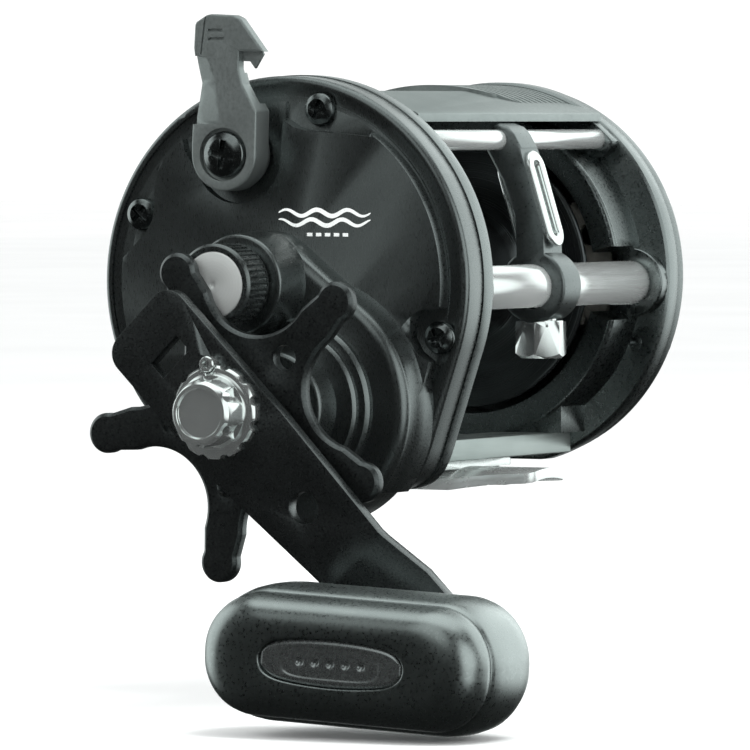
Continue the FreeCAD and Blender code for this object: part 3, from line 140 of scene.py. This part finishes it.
# ------------------------------------------------------------------ material helpers
class NT:
    def __init__(self, name):
        self.mat = bpy.data.materials.new(name)
        self.mat.use_nodes = True
        self.t = self.mat.node_tree
        self.t.nodes.clear()
        self.out = self.t.nodes.new("ShaderNodeOutputMaterial")
        self.b = self.t.nodes.new("ShaderNodeBsdfPrincipled")
        self.t.links.new(self.b.outputs[0], self.out.inputs[0])
        self.tc = self.t.nodes.new("ShaderNodeTexCoord")
        self.co = self.tc.outputs["Object"]

    def set(self, **kw):
        for k, v in kw.items():
            self.b.inputs[k.replace("_", " ")].default_value = v
        return self

    def noise(self, scale, detail=4.0, rough=0.55, co=None, dist=0.0):
        n = self.t.nodes.new("ShaderNodeTexNoise")
        n.inputs["Scale"].default_value = scale
        n.inputs["Detail"].default_value = detail
        n.inputs["Roughness"].default_value = rough
        n.inputs["Distortion"].default_value = dist
        self.t.links.new(co or self.co, n.inputs["Vector"])
        return n.outputs["Fac"]

    def voronoi(self, scale, co=None, feature="F1"):
        n = self.t.nodes.new("ShaderNodeTexVoronoi")
        n.feature = feature
        n.inputs["Scale"].default_value = scale
        self.t.links.new(co or self.co, n.inputs["Vector"])
        return n.outputs["Distance"]

    def mapping(self, scale=(1, 1, 1), loc=(0, 0, 0), rot=(0, 0, 0), co=None):
        n = self.t.nodes.new("ShaderNodeMapping")
        n.inputs["Scale"].default_value = scale
        n.inputs["Location"].default_value = loc
        n.inputs["Rotation"].default_value = rot
        self.t.links.new(co or self.co, n.inputs["Vector"])
        return n.outputs[0]

    def math(self, op, a, b=None, clamp=False):
        n = self.t.nodes.new("ShaderNodeMath")
        n.operation = op
        n.use_clamp = clamp
        for i, v in enumerate((a, b)):
            if v is None:
                continue
            if isinstance(v, (int, float)):
                n.inputs[i].default_value = v
            else:
                self.t.links.new(v, n.inputs[i])
        return n.outputs[0]

    def maprange(self, v, a, b, c, d):
        n = self.t.nodes.new("ShaderNodeMapRange")
        self.t.links.new(v, n.inputs[0])
        for i, x in enumerate((a, b, c, d)):
            n.inputs[i + 1].default_value = x
        return n.outputs[0]

    def ramp(self, v, stops):
        n = self.t.nodes.new("ShaderNodeValToRGB")
        e = n.color_ramp.elements
        while len(e) < len(stops):
            e.new(0.5)
        for i, (p, c) in enumerate(stops):
            e[i].position = p
            e[i].color = (c[0], c[1], c[2], 1)
        self.t.links.new(v, n.inputs[0])
        return n.outputs[0]

    def bump(self, h, strength, dist, normal=None):
        n = self.t.nodes.new("ShaderNodeBump")
        n.inputs["Strength"].default_value = strength
        n.inputs["Distance"].default_value = dist
        self.t.links.new(h, n.inputs["Height"])
        if normal is not None:
            self.t.links.new(normal, n.inputs["Normal"])
        return n.outputs[0]

    def radial(self, cy, cz):
        """Distance in metres from the line y=cy, z=cz parallel to X."""
        m = self.mapping(scale=(0, 1, 1), loc=(0, -cy, -cz))
        n = self.t.nodes.new("ShaderNodeVectorMath")
        n.operation = "LENGTH"
        self.t.links.new(m, n.inputs[0])
        return n.outputs["Value"]

    def geo(self):
        n = self.t.nodes.new("ShaderNodeNewGeometry")
        return n

    def edge_wear(self):
        """0..1 mask on convex edges."""
        g = self.geo()
        return self.maprange(g.outputs["Pointiness"], 0.52, 0.60, 0.0, 1.0)

    def link(self, v, name):
        self.t.links.new(v, self.b.inputs[name])


def enamel(name, dark, light, rough=0.16, coat=0.5, speck=0.15, cy=0.0, cz=AX_Z):
    """Gloss black paint: slight flow waviness and fine dust."""
    m = NT(name)
    n1 = m.noise(55, 3)
    n2 = m.noise(900, 2)
    col = m.ramp(n1, [(0.3, dark), (0.75, light)])
    m.link(col, "Base Color")
    r = m.math("ADD", m.maprange(n2, 0.3, 0.7, rough * 0.82, rough * 1.25), m.math("MULTIPLY", m.maprange(n1, 0.4, 0.7, 0, 1), 0.03))
    m.link(r, "Roughness")
    m.link(m.bump(n2, 0.035, 0.00004, m.bump(n1, 0.05, 0.00025)), "Normal")
    m.set(Metallic=0.0, Coat_Weight=coat, Coat_Roughness=0.07, Specular_IOR_Level=0.6, IOR=1.5)
    return m.mat


def satin_plate(name, dark, light, rough=0.33):
    """Satin black plate: fine diagonal brushing."""
    m = NT(name)
    line = m.noise(1.0, 2, 0.55, co=m.mapping(scale=(1500, 9500, 1300), rot=(math.radians(40), 0, 0)))
    grit = m.noise(3800, 2, 0.6)
    cloud = m.noise(48, 3)
    mix = m.math("ADD", m.math("MULTIPLY", line, 0.5), m.math("ADD", m.math("MULTIPLY", cloud, 0.35), m.math("MULTIPLY", grit, 0.15)))
    m.link(m.ramp(mix, [(0.32, dark), (0.68, light)]), "Base Color")
    m.link(m.maprange(line, 0.3, 0.7, rough * 0.82, rough * 1.2), "Roughness")
    m.link(m.bump(m.math("ADD", line, m.math("MULTIPLY", grit, 0.4)), 0.10, 0.00003), "Normal")
    m.set(Metallic=0.98, Specular_IOR_Level=0.5, Coat_Weight=0.0)
    return m.mat


def powder(name, dark, light, rough=0.42, grain=2600.0, strength=0.35, metallic=0.2):
    """Fine crinkle powder coat."""
    m = NT(name)
    n1 = m.noise(grain, 2, 0.6)
    v = m.voronoi(grain * 0.8)
    n3 = m.noise(60, 3)
    col = m.ramp(m.math("ADD", m.math("MULTIPLY", n1, 0.65), m.math("MULTIPLY", n3, 0.35)), [(0.3, dark), (0.72, light)])
    m.link(col, "Base Color")
    m.link(m.maprange(n1, 0.3, 0.7, rough * 0.8, rough * 1.25), "Roughness")
    h = m.math("ADD", n1, m.math("MULTIPLY", v, 0.6))
    m.link(m.bump(h, strength, 0.00006), "Normal")
    m.set(Metallic=metallic, Specular_IOR_Level=0.5)
    return m.mat


def metal(name, a, b, rough=0.2, kind="cast", scale=1.0, metallic=1.0, cy=0.0, cz=AX_Z, coat=0.0, bump=0.1):
    """Metal finishes: polished, brushed along X, turned rings about an X axis, or cast."""
    m = NT(name)
    if kind == "turned":
        rad = m.radial(cy, cz)
        vec = m.t.nodes.new("ShaderNodeCombineXYZ")
        m.t.links.new(m.math("MULTIPLY", rad, 1.0), vec.inputs[0])
        n = m.noise(6500 * scale, 3, 0.6, co=vec.outputs[0])
    elif kind == "brushed":
        n = m.noise(1.0, 3, 0.6, co=m.mapping(scale=(60 * scale, 5200 * scale, 5200 * scale)))
    elif kind == "brushed_z":
        n = m.noise(1.0, 3, 0.6, co=m.mapping(scale=(5200 * scale, 5200 * scale, 60 * scale)))
    elif kind == "polished":
        n = m.noise(420 * scale, 2, 0.5)
    else:
        n = m.noise(1700 * scale, 3, 0.6)
    big = m.noise(70, 3)
    mix = m.math("ADD", m.math("MULTIPLY", n, 0.6), m.math("MULTIPLY", big, 0.4))
    m.link(m.ramp(mix, [(0.3, a), (0.7, b)]), "Base Color")
    m.link(m.maprange(n, 0.25, 0.75, rough * 0.65, rough * 1.35), "Roughness")
    m.link(m.bump(n, bump, 0.00003), "Normal")
    m.set(Metallic=metallic, Coat_Weight=coat, Coat_Roughness=0.12)
    return m.mat


def plastic(name, a, b, rough=0.35, grain=1500.0, bump=0.08, coat=0.0, spec=0.5):
    m = NT(name)
    n = m.noise(grain, 2, 0.5)
    big = m.noise(45, 3)
    m.link(m.ramp(m.math("ADD", m.math("MULTIPLY", n, 0.4), m.math("MULTIPLY", big, 0.6)), [(0.3, a), (0.7, b)]), "Base Color")
    m.link(m.maprange(n, 0.3, 0.7, rough * 0.85, rough * 1.2), "Roughness")
    m.link(m.bump(n, bump, 0.00004), "Normal")
    m.set(Metallic=0.0, Specular_IOR_Level=spec, Coat_Weight=coat, Coat_Roughness=0.1)
    return m.mat


DY, DZ = -0.0077, AX_Z - 0.024298
M = {}
M["side"] = satin_plate("side_satin", (0.15, 0.165, 0.165), (0.25, 0.27, 0.268), rough=0.30)
M["rim"] = metal("rim_satin", (0.10, 0.115, 0.115), (0.17, 0.19, 0.19), rough=0.30, kind="turned", metallic=0.9)
M["frame"] = metal("frame_anodised", (0.20, 0.22, 0.22), (0.30, 0.325, 0.322), rough=0.30, kind="cast", metallic=1.0, bump=0.10)
M["thumb"] = metal("thumb_anodised", (0.26, 0.29, 0.285), (0.36, 0.395, 0.39), rough=0.42, kind="cast", metallic=0.95, bump=0.16)
M["plate"] = metal("bottom_satin", (0.28, 0.32, 0.31), (0.42, 0.47, 0.455), rough=0.4, kind="brushed", metallic=0.85)
M["chrome"] = metal("chrome_polished", (0.74, 0.78, 0.77), (0.86, 0.89, 0.88), rough=0.10, kind="polished", bump=0.02, metallic=0.93)
M["chrome_tube"] = metal("chrome_tube", (0.70, 0.74, 0.73), (0.82, 0.85, 0.84), rough=0.2, kind="brushed", bump=0.03, metallic=0.74)
M["chrome_foot"] = metal("chrome_foot", (0.70, 0.74, 0.73), (0.82, 0.85, 0.84), rough=0.24, kind="polished", bump=0.02, metallic=0.72)
M["steel"] = metal("steel_machined", (0.50, 0.52, 0.52), (0.66, 0.68, 0.68), rough=0.28, kind="cast", bump=0.1)
M["black_steel"] = metal("steel_blackened", (0.16, 0.175, 0.175), (0.30, 0.32, 0.32), rough=0.22, kind="cast", metallic=1.0, bump=0.05)
M["brass"] = metal("brass_machined", (0.62, 0.44, 0.18), (0.80, 0.60, 0.28), rough=0.26, kind="turned", cy=DY, cz=DZ)
M["crank"] = powder("crank_powder", (0.06, 0.066, 0.067), (0.16, 0.172, 0.172), rough=0.30, strength=0.22, metallic=0.97)
M["star"] = powder("star_powder", (0.06, 0.066, 0.067), (0.15, 0.162, 0.162), rough=0.32, grain=2300, strength=0.25, metallic=0.97)
M["knob"] = metal("knob_gunmetal", (0.33, 0.36, 0.355), (0.43, 0.465, 0.46), rough=0.32, kind="cast", bump=0.03, metallic=1.0)
M["badge"] = metal("badge_insert", (0.28, 0.30, 0.30), (0.40, 0.42, 0.42), rough=0.27, kind="cast", metallic=0.96, bump=0.05)
M["lever"] = metal("lever_satin", (0.20, 0.224, 0.22), (0.30, 0.33, 0.325), rough=0.44, kind="cast", metallic=0.82, bump=0.12)
M["spool"] = metal("spool_anodised", (0.05, 0.055, 0.057), (0.12, 0.13, 0.132), rough=0.24, kind="turned", metallic=0.95)
M["guide"] = metal("guide_satin", (0.16, 0.178, 0.178), (0.26, 0.285, 0.283), rough=0.36, kind="cast", metallic=0.95)
M["cap"] = metal("cap_black", (0.12, 0.13, 0.13), (0.22, 0.24, 0.238), rough=0.30, kind="cast", metallic=0.97, bump=0.08)
M["cap_inset"] = metal("cap_inset_spun", (0.50, 0.52, 0.51), (0.68, 0.70, 0.69), rough=0.40, kind="turned", cy=0.0, cz=AX_Z, bump=0.2, metallic=0.62)
M["fibre"] = plastic("friction_fibre", (0.05, 0.035, 0.025), (0.12, 0.085, 0.06), rough=0.8, grain=900, bump=0.4)
M["bush"] = plastic("bearing_resin", (0.60, 0.59, 0.54), (0.72, 0.70, 0.65), rough=0.45, grain=1200)
M["gear_resin"] = plastic("gear_resin", (0.55, 0.55, 0.50), (0.70, 0.69, 0.63), rough=0.4, grain=1100)

NODE_MAT = {
    "frame_ring_right": "frame", "frame_ring_left": "frame", "thumb_rest": "thumb", "bottom_plate": "plate", "reel_foot": "chrome_foot",
    "foot_screws": "steel", "guide_rod": "chrome_tube", "levelwind_tube": "chrome_tube", "side_plate_right": "side",
    "side_plate_left": "side", "plate_screws_right": "black_steel", "plate_screws_left": "black_steel",
    "spool_bush_right": "bush", "spool_bush_left": "bush", "drive_bush": "bush", "bridge_plate": "steel", "bridge_bush": "bush",
    "bridge_screws": "steel", "yoke_posts": "steel", "idler_stud": "steel", "dog_pin": "steel", "worm_bush_right": "bush",
    "worm_bush_left": "bush", "drive_gear": "brass", "drag_washers": "fibre", "metal_washers": "steel", "drag_sleeve": "steel",
    "ratchet_wheel": "steel", "drive_shaft": "steel", "crank_spacer": "black_steel", "crank_arm": "crank", "crank_nut": "chrome",
    "lock_screw": "chrome", "knob_shaft": "steel", "star_wheel": "star", "knob_grip": "knob", "knob_badge": "badge",
    "lever_arm": "lever", "lever_screw": "black_steel", "lever_cam": "steel", "clutch_yoke": "steel", "pinion": "brass",
    "spool_body": "spool", "spool_shaft": "steel", "clutch_pin": "steel", "spool_gear": "brass", "click_wheel": "steel",
    "idler_gear": "gear_resin", "worm_gear": "gear_resin", "worm_shaft": "steel", "guide_carriage": "guide",
    "line_eyelet": "chrome", "pawl_cap": "chrome", "pawl": "steel", "cast_cap": "cap", "cast_cap_inset": "cap_inset",
    "cast_thrust_pad": "bush", "anti_reverse_dog": "steel", "click_button": "cap",
}
BEVEL = {
    "frame_ring_right": 0.35, "frame_ring_left": 0.35, "thumb_rest": 0.2, "bottom_plate": 0.25, "reel_foot": 0.3,
    "side_plate_right": 0.25, "side_plate_left": 0.3, "crank_arm": 0.25, "star_wheel": 0.25, "crank_nut": 0.12,
    "lever_arm": 0.2, "guide_carriage": 0.2, "line_eyelet": 0.35, "pawl_cap": 0.25, "cast_cap": 0.12, "knob_grip": 0.2,
    "spool_body": 0.25, "click_button": 0.15, "plate_screws_right": 0.08, "plate_screws_left": 0.08, "lever_screw": 0.08,
    "lock_screw": 0.08, "crank_spacer": 0.15, "knob_shaft": 0.15,
}


def smooth_cad(o, width_mm=None, angle=28):
    w = o.modifiers.new("weld", "WELD")
    w.merge_threshold = 0.000002
    if width_mm:
        b = o.modifiers.new("bevel", "BEVEL")
        b.width = width_mm / 1000
        b.segments = 2
        b.limit_method = "ANGLE"
        b.angle_limit = math.radians(angle)
        b.use_clamp_overlap = True
        b.harden_normals = False
        b.miter_outer = "MITER_ARC"


EXTRA = {"emblem": metal("emblem_pale", (0.72, 0.75, 0.74), (0.86, 0.88, 0.87), rough=0.35, kind="cast", metallic=0.2)}
for n, o in nodes.items():
    o.data.materials.clear()
    o.data.materials.append(M[NODE_MAT.get(n, "steel")])
    smooth_cad(o, BEVEL.get(n))
    for p in o.data.polygons:
        p.use_smooth = True
    bpy.context.view_layer.objects.active = o
    for other in bpy.context.selected_objects:
        other.select_set(False)
    o.select_set(True)
    try:
        bpy.ops.object.shade_auto_smooth(angle=math.radians(30))
    except Exception:
        pass

# ------------------------------------------------------------------ stage, light, camera
lo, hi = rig.bounds()


def mesh_obj(name, verts, faces, mat=None, smooth=True):
    me = bpy.data.meshes.new(name)
    me.from_pydata(verts, [], faces)
    me.update()
    o = bpy.data.objects.new(name, me)
    scene.collection.objects.link(o)
    if mat:
        me.materials.append(mat)
    if smooth:
        for p in me.polygons:
            p.use_smooth = True
    return o



# ------------------------------------------------------------------ knob: two shells, seam, badge
TILT = math.radians(2.8)
KY = -7.7 - 63.8 * math.sin(math.radians(45))
KZ = -24.298 - 63.8 * math.cos(math.radians(45))
NP = 176


def kp(x, y, z):
    """Point of the knob from its own axes (mm) to the frame."""
    c, s_ = math.cos(TILT), math.sin(TILT)
    return W(x, KY + c * y - s_ * z, KZ + s_ * y + c * z)


def bar_loop(L, H, r):
    pts = []
    for i in range(NP):
        ph = 2 * math.pi * (i + 0.5) / NP
        y = 0.5 * L * math.cos(ph)
        e = abs(y) - (0.5 * L - r)
        h = 0.5 * H if e <= 0 else 0.5 * H - r + math.sqrt(max(0.0, r * r - e * e))
        pts.append((y, h if math.sin(ph) >= 0 else -h))
    return pts


def boat_h(y, L, H):
    t = min(1.0, 2 * abs(y) / L)
    return 0.5 * H * (1 - 0.30 * t * t) * math.sqrt(max(0.0, 1 - t ** 9))


def boat_loop(L, H):
    pts = []
    for i in range(NP):
        ph = 2 * math.pi * (i + 0.5) / NP
        y = 0.5 * L * math.cos(ph)
        h = boat_h(y, L, H)
        pts.append((y, h if math.sin(ph) >= 0 else -h))
    return pts


def loft(name, loops, mat, cap_first=True, cap_last=True, place=kp):
    """loops: [(x, [(y, z), ...]), ...] joined in order into one closed skin."""
    verts, faces = [], []
    for x, pts in loops:
        verts += [place(x, y, z) for y, z in pts]
    n = len(loops[0][1])
    for k in range(len(loops) - 1):
        for i in range(n):
            j = (i + 1) % n
            faces.append((k * n + i, k * n + j, (k + 1) * n + j, (k + 1) * n + i))
    if cap_first:
        faces.append(tuple(reversed(range(n))))
    if cap_last:
        faces.append(tuple(range((len(loops) - 1) * n, len(loops) * n)))
    o = mesh_obj(name, verts, faces, mat)
    bm = bmesh.new()
    bm.from_mesh(o.data)
    bmesh.ops.recalc_face_normals(bm, faces=bm.faces)
    bm.to_mesh(o.data)
    bm.free()
    return o


def auto_smooth(o, deg=32):
    for other in bpy.context.selected_objects:
        other.select_set(False)
    bpy.context.view_layer.objects.active = o
    o.select_set(True)
    bpy.ops.object.shade_auto_smooth(angle=math.radians(deg))


front = [(-78.35, boat_loop(30.7, 9.2)), (-79.40, boat_loop(30.7, 9.2)), (-79.55, boat_loop(31.0, 9.45)), (-79.58, boat_loop(31.6, 9.9))]
for x, L, H in ((-79.56, 38.0, 12.4), (-79.42, 43.6, 14.6), (-79.05, 48.4, 16.9), (-78.4, 52.2, 18.9), (-77.3, 55.2, 20.7),
                (-75.8, 57.4, 22.1), (-74.0, 58.6, 23.0), (-72.4, 59.2, 23.45), (-71.45, 59.4, 23.6), (-71.3, 59.2, 23.4), (-71.22, 58.5, 22.7)):
    front.append((x, bar_loop(L, H, 0.475 * H)))
knob_front = loft("knob_front_shell", front, M["knob"])
rear = []
for x, L, H in ((-71.16, 58.5, 22.7), (-71.1, 59.2, 23.5), (-70.9, 59.5, 23.9), (-69.8, 60.1, 24.9), (-67.5, 60.7, 25.8), (-64.0, 60.9, 26.3),
                (-60.0, 60.8, 26.35), (-56.5, 60.0, 26.0), (-53.5, 57.6, 25.0), (-51.0, 53.4, 23.6), (-49.0, 47.6, 22.0), (-47.4, 40.4, 20.0),
                (-46.2, 32.0, 17.8), (-45.4, 24.0, 15.9), (-45.0, 17.0, 14.4), (-44.6, 13.6, 13.4), (-40.0, 13.2, 13.2), (-36.5, 13.2, 13.2)):
    rear.append((x, bar_loop(L, H, min(0.478 * H, 0.4999 * L))))
rear.append((-36.2, bar_loop(12.6, 12.6, 6.29)))
knob_rear = loft("knob_rear_shell", rear, M["knob"])
for o in (knob_front, knob_rear):
    auto_smooth(o, 40)
    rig.ride(o, "knob")
    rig.replaces(o, "knob_grip")
    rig.slot(o, "knob_gunmetal")

# badge: crowned insert with a shallow panel and five dimples
BL, BH, NU, NV = 30.3, 8.8, 190, 64
bv, bf = [], []
for i in range(NU + 1):
    y = 0.5 * BL * math.sin(math.pi / 2 * (2 * i / NU - 1))
    h = max(boat_h(y, BL, BH), 0.02)
    for j in range(NV + 1):
        v = math.sin(math.pi / 2 * (2 * j / NV - 1))
        z = h * v
        edge = min(h * (1 - abs(v)), 0.5 * BL - abs(y))
        x = -79.42 - 0.12 * (1 - (2 * y / BL) ** 2)
        x += 0.75 * max(0.0, 1 - edge / 1.0) ** 2.2
        px, pz = abs(y) / 10.6, abs(z) / 3.1
        rr_ = (px ** 4 + pz ** 4) ** 0.25
        x += 0.16 * min(1.0, max(0.0, (1.0 - rr_) / 0.06))
        for kk in range(5):
            dd = math.hypot(y - 3.26 * (kk - 2), z)
            if dd < 0.86:
                x += 0.60 * (1 - (dd / 0.86) ** 2)
        bv.append(kp(x, y, z))
base = len(bv)
for i in range(NU):
    for j in range(NV):
        p0 = i * (NV + 1) + j
        bf.append((p0, p0 + 1, p0 + NV + 2, p0 + NV + 1))
ring = [i * (NV + 1) for i in range(NU + 1)] + [NU * (NV + 1) + j for j in range(1, NV + 1)] + \
       [i * (NV + 1) + NV for i in range(NU - 1, -1, -1)] + [j for j in range(NV - 1, 0, -1)]
low = []
for k in ring:
    i, j = divmod(k, NV + 1)
    y = 0.5 * BL * math.sin(math.pi / 2 * (2 * i / NU - 1))
    h = max(boat_h(y, BL, BH), 0.02)
    bv.append(kp(-78.4, y, h * math.sin(math.pi / 2 * (2 * j / NV - 1))))
    low.append(len(bv) - 1)
for q in range(len(ring)):
    r2 = (q + 1) % len(ring)
    bf.append((ring[q], ring[r2], low[r2], low[q]))
bf.append(tuple(low))
badge_o = mesh_obj("badge_insert", bv, bf, M["badge"])
bm = bmesh.new()
bm.from_mesh(badge_o.data)
bmesh.ops.remove_doubles(bm, verts=bm.verts, dist=0.000004)
bmesh.ops.recalc_face_normals(bm, faces=bm.faces)
bm.to_mesh(badge_o.data)
bm.free()
for p in badge_o.data.polygons:
    p.use_smooth = True
auto_smooth(badge_o, 50)
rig.ride(badge_o, "knob")
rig.replaces(badge_o, "knob_badge")
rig.slot(badge_o, "badge")


# ------------------------------------------------------------------ plain wave mark and bars on the side plate
def ribbon(name, centre, half, x_face, thick, mat):
    """Flat raised ribbon on a plane facing -X; centre = [(y, z)], half = half width per point."""
    verts, faces = [], []
    n = len(centre)
    for i, (y, z) in enumerate(centre):
        y0, z0 = centre[max(0, i - 1)]
        y1, z1 = centre[min(n - 1, i + 1)]
        d = Vector((y1 - y0, z1 - z0)).normalized()
        nx, nz = -d.y, d.x
        for sx in (x_face + 0.02, x_face - thick):
            for sg in (-1, 1):
                verts.append(W(sx, y + sg * nx * half[i], z + sg * nz * half[i]))
    for i in range(n - 1):
        b0, b1 = 4 * i, 4 * (i + 1)
        for p, q in ((0, 1), (1, 3), (3, 2), (2, 0)):
            faces.append((b0 + p, b0 + q, b1 + q, b1 + p))
    faces.append((0, 2, 3, 1))
    e = 4 * (n - 1)
    faces.append((e, e + 1, e + 3, e + 2))
    o = mesh_obj(name, verts, faces, mat, False)
    bm_ = bmesh.new()
    bm_.from_mesh(o.data)
    bmesh.ops.recalc_face_normals(bm_, faces=bm_.faces)
    bm_.to_mesh(o.data)
    bm_.free()
    return o


for w_i in range(2):
    cen, hw = [], []
    for i in range(61):
        t = i / 60
        cen.append((-0.8 - 20.6 * t, 13.9 - 1.9 * w_i + 0.62 * math.sin(2 * math.pi * 3 * t + 1.1 * w_i)))
        hw.append(0.10 + 0.34 * math.sin(math.pi * t) ** 0.6)
    o = ribbon("wave_mark_%d" % (w_i + 1), cen, hw, -3.6, 0.06, EXTRA["emblem"])
    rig.ride(o, "frame")
for b_i in range(5):
    yc = -7.2 - 2.0 * b_i
    o = ribbon("mark_bar_%d" % (b_i + 1), [(yc, 9.6), (yc - 0.6, 9.6), (yc - 1.2, 9.6)], [0.34, 0.34, 0.34], -3.6, 0.06, EXTRA["emblem"])
    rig.ride(o, "frame")

FZ = cad_lo.z - 0.0005
floor_mat = NT("floor_pale")
fn = floor_mat.noise(6, 3)
floor_mat.link(floor_mat.ramp(fn, [(0.3, (0.86, 0.865, 0.865)), (0.7, (0.90, 0.905, 0.905))]), "Base Color")
floor_mat.set(Roughness=0.6, Specular_IOR_Level=0.2)
S = 8.0
fl_o = mesh_obj("floor", [(-S, -S, FZ), (S, -S, FZ), (S, S, FZ), (-S, S, FZ)], [(0, 1, 2, 3)], floor_mat.mat, False)
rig.stage(fl_o)

world = bpy.data.worlds.new("studio")
scene.world = world
world.use_nodes = True
bg = world.node_tree.nodes["Background"]
bg.inputs["Color"].default_value = (1.0, 1.0, 1.0, 1)
bg.inputs["Strength"].default_value = 1.12

O = W(0, 0, 0)


def area(name, loc, target, size, size_y, power, color=(1, 1, 1)):
    d = bpy.data.lights.new(name, "AREA")
    d.shape = "RECTANGLE"
    d.size, d.size_y = size, size_y
    d.energy = power
    d.color = color
    o = bpy.data.objects.new(name, d)
    o.location = loc
    o.rotation_mode = "QUATERNION"
    o.rotation_quaternion = (Vector(target) - Vector(loc)).to_track_quat("-Z", "Y")
    scene.collection.objects.link(o)
    return o


C0 = Vector((0.0, 0.0, 0.03))
area("key_top", C0 + Vector((-0.15, -0.45, 0.9)), C0, 0.7, 0.5, 9.0, (0.97, 1.0, 0.99))
area("side_left", C0 + Vector((-0.9, 0.35, 0.35)), C0, 0.5, 0.9, 6.0, (0.97, 1.0, 0.99))
area("front_right", C0 + Vector((0.35, -1.0, 0.25)), C0, 0.35, 0.8, 5.0)


def dome(name, radius, panels, base):
    """Softboxes as seen in reflections only: a big shell whose glow falls off round each panel's direction."""
    m = NT(name + "_mat")
    nv = m.t.nodes.new("ShaderNodeVectorMath")
    nv.operation = "NORMALIZE"
    m.t.links.new(m.co, nv.inputs[0])
    total = None
    for d, c0, c1, e in panels:
        v = Vector(d).normalized()
        dn = m.t.nodes.new("ShaderNodeVectorMath")
        dn.operation = "DOT_PRODUCT"
        m.t.links.new(nv.outputs[0], dn.inputs[0])
        dn.inputs[1].default_value = v
        mr = m.t.nodes.new("ShaderNodeMapRange")
        mr.interpolation_type = "SMOOTHSTEP"
        m.t.links.new(dn.outputs["Value"], mr.inputs[0])
        mr.inputs[1].default_value, mr.inputs[2].default_value = c0, c1
        mr.inputs[3].default_value, mr.inputs[4].default_value = 0.0, e
        total = mr.outputs[0] if total is None else m.math("ADD", total, mr.outputs[0])
    total = m.math("ADD", total, base)
    em = m.t.nodes.new("ShaderNodeEmission")
    em.inputs["Color"].default_value = (0.93, 1.0, 0.985, 1)
    m.t.links.new(total, em.inputs["Strength"])
    m.t.links.new(em.outputs[0], m.out.inputs[0])
    m.mat.cycles.emission_sampling = "NONE"
    me = bpy.data.meshes.new(name)
    bm_ = bmesh.new()
    bmesh.ops.create_icosphere(bm_, subdivisions=5, radius=radius)
    bm_.to_mesh(me)
    bm_.free()
    o = bpy.data.objects.new(name, me)
    me.materials.append(m.mat)
    scene.collection.objects.link(o)
    for attr in ("visible_camera", "visible_diffuse", "visible_shadow", "visible_transmission", "visible_volume_scatter"):
        setattr(o, attr, False)
    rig.stage(o)
    return o


dome("reflection_shell", 6.0, [
    ((0.10, 0.00, 1.0), 0.74, 0.93, 1.3),
    ((0.85, -0.42, 0.30), 0.74, 0.93, 1.5),
    ((-0.25, -0.95, 0.20), 0.82, 0.95, 1.25),
    ((0.05, 0.97, 0.20), 0.80, 0.94, 1.2),
    ((0.90, 0.42, 0.25), 0.82, 0.95, 0.9),
    ((-0.78, 0.05, 0.62), 0.87, 0.98, 0.75)], 0.018)
fl_o.visible_glossy = False
for lo_ in [ob for ob in scene.objects if ob.type == "LIGHT"]:
    lo_.visible_glossy = False

PSI, TH = math.radians(28.5), math.radians(1.2)
a = -(math.pi / 2 - PSI)
back = Vector((math.sin(a) * math.cos(TH), -math.cos(a) * math.cos(TH), math.sin(TH)))
fwd = -back
right = fwd.cross(Vector((0, 0, 1))).normalized()
up = right.cross(fwd)
cam_d = bpy.data.cameras.new("camera")
cam = bpy.data.objects.new("camera", cam_d)
scene.collection.objects.link(cam)
cam_d.sensor_width = 36
cam_d.lens = 384
dist = 1.5886
cam.location = O + back * dist
aim = O + right * 0.0181 - up * 0.0184
cam.rotation_mode = "QUATERNION"
cam.rotation_quaternion = (aim - cam.location).to_track_quat("-Z", "Y")
cam_d.clip_start, cam_d.clip_end = 0.05, 50
scene.camera = cam
scene.view_settings.view_transform = "Standard"

v_lo, v_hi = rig.bounds()
with open("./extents.json", "w") as f:
    json.dump({"cad": [list(cad_lo), list(cad_hi)], "visual": [list(v_lo), list(v_hi)]}, f)
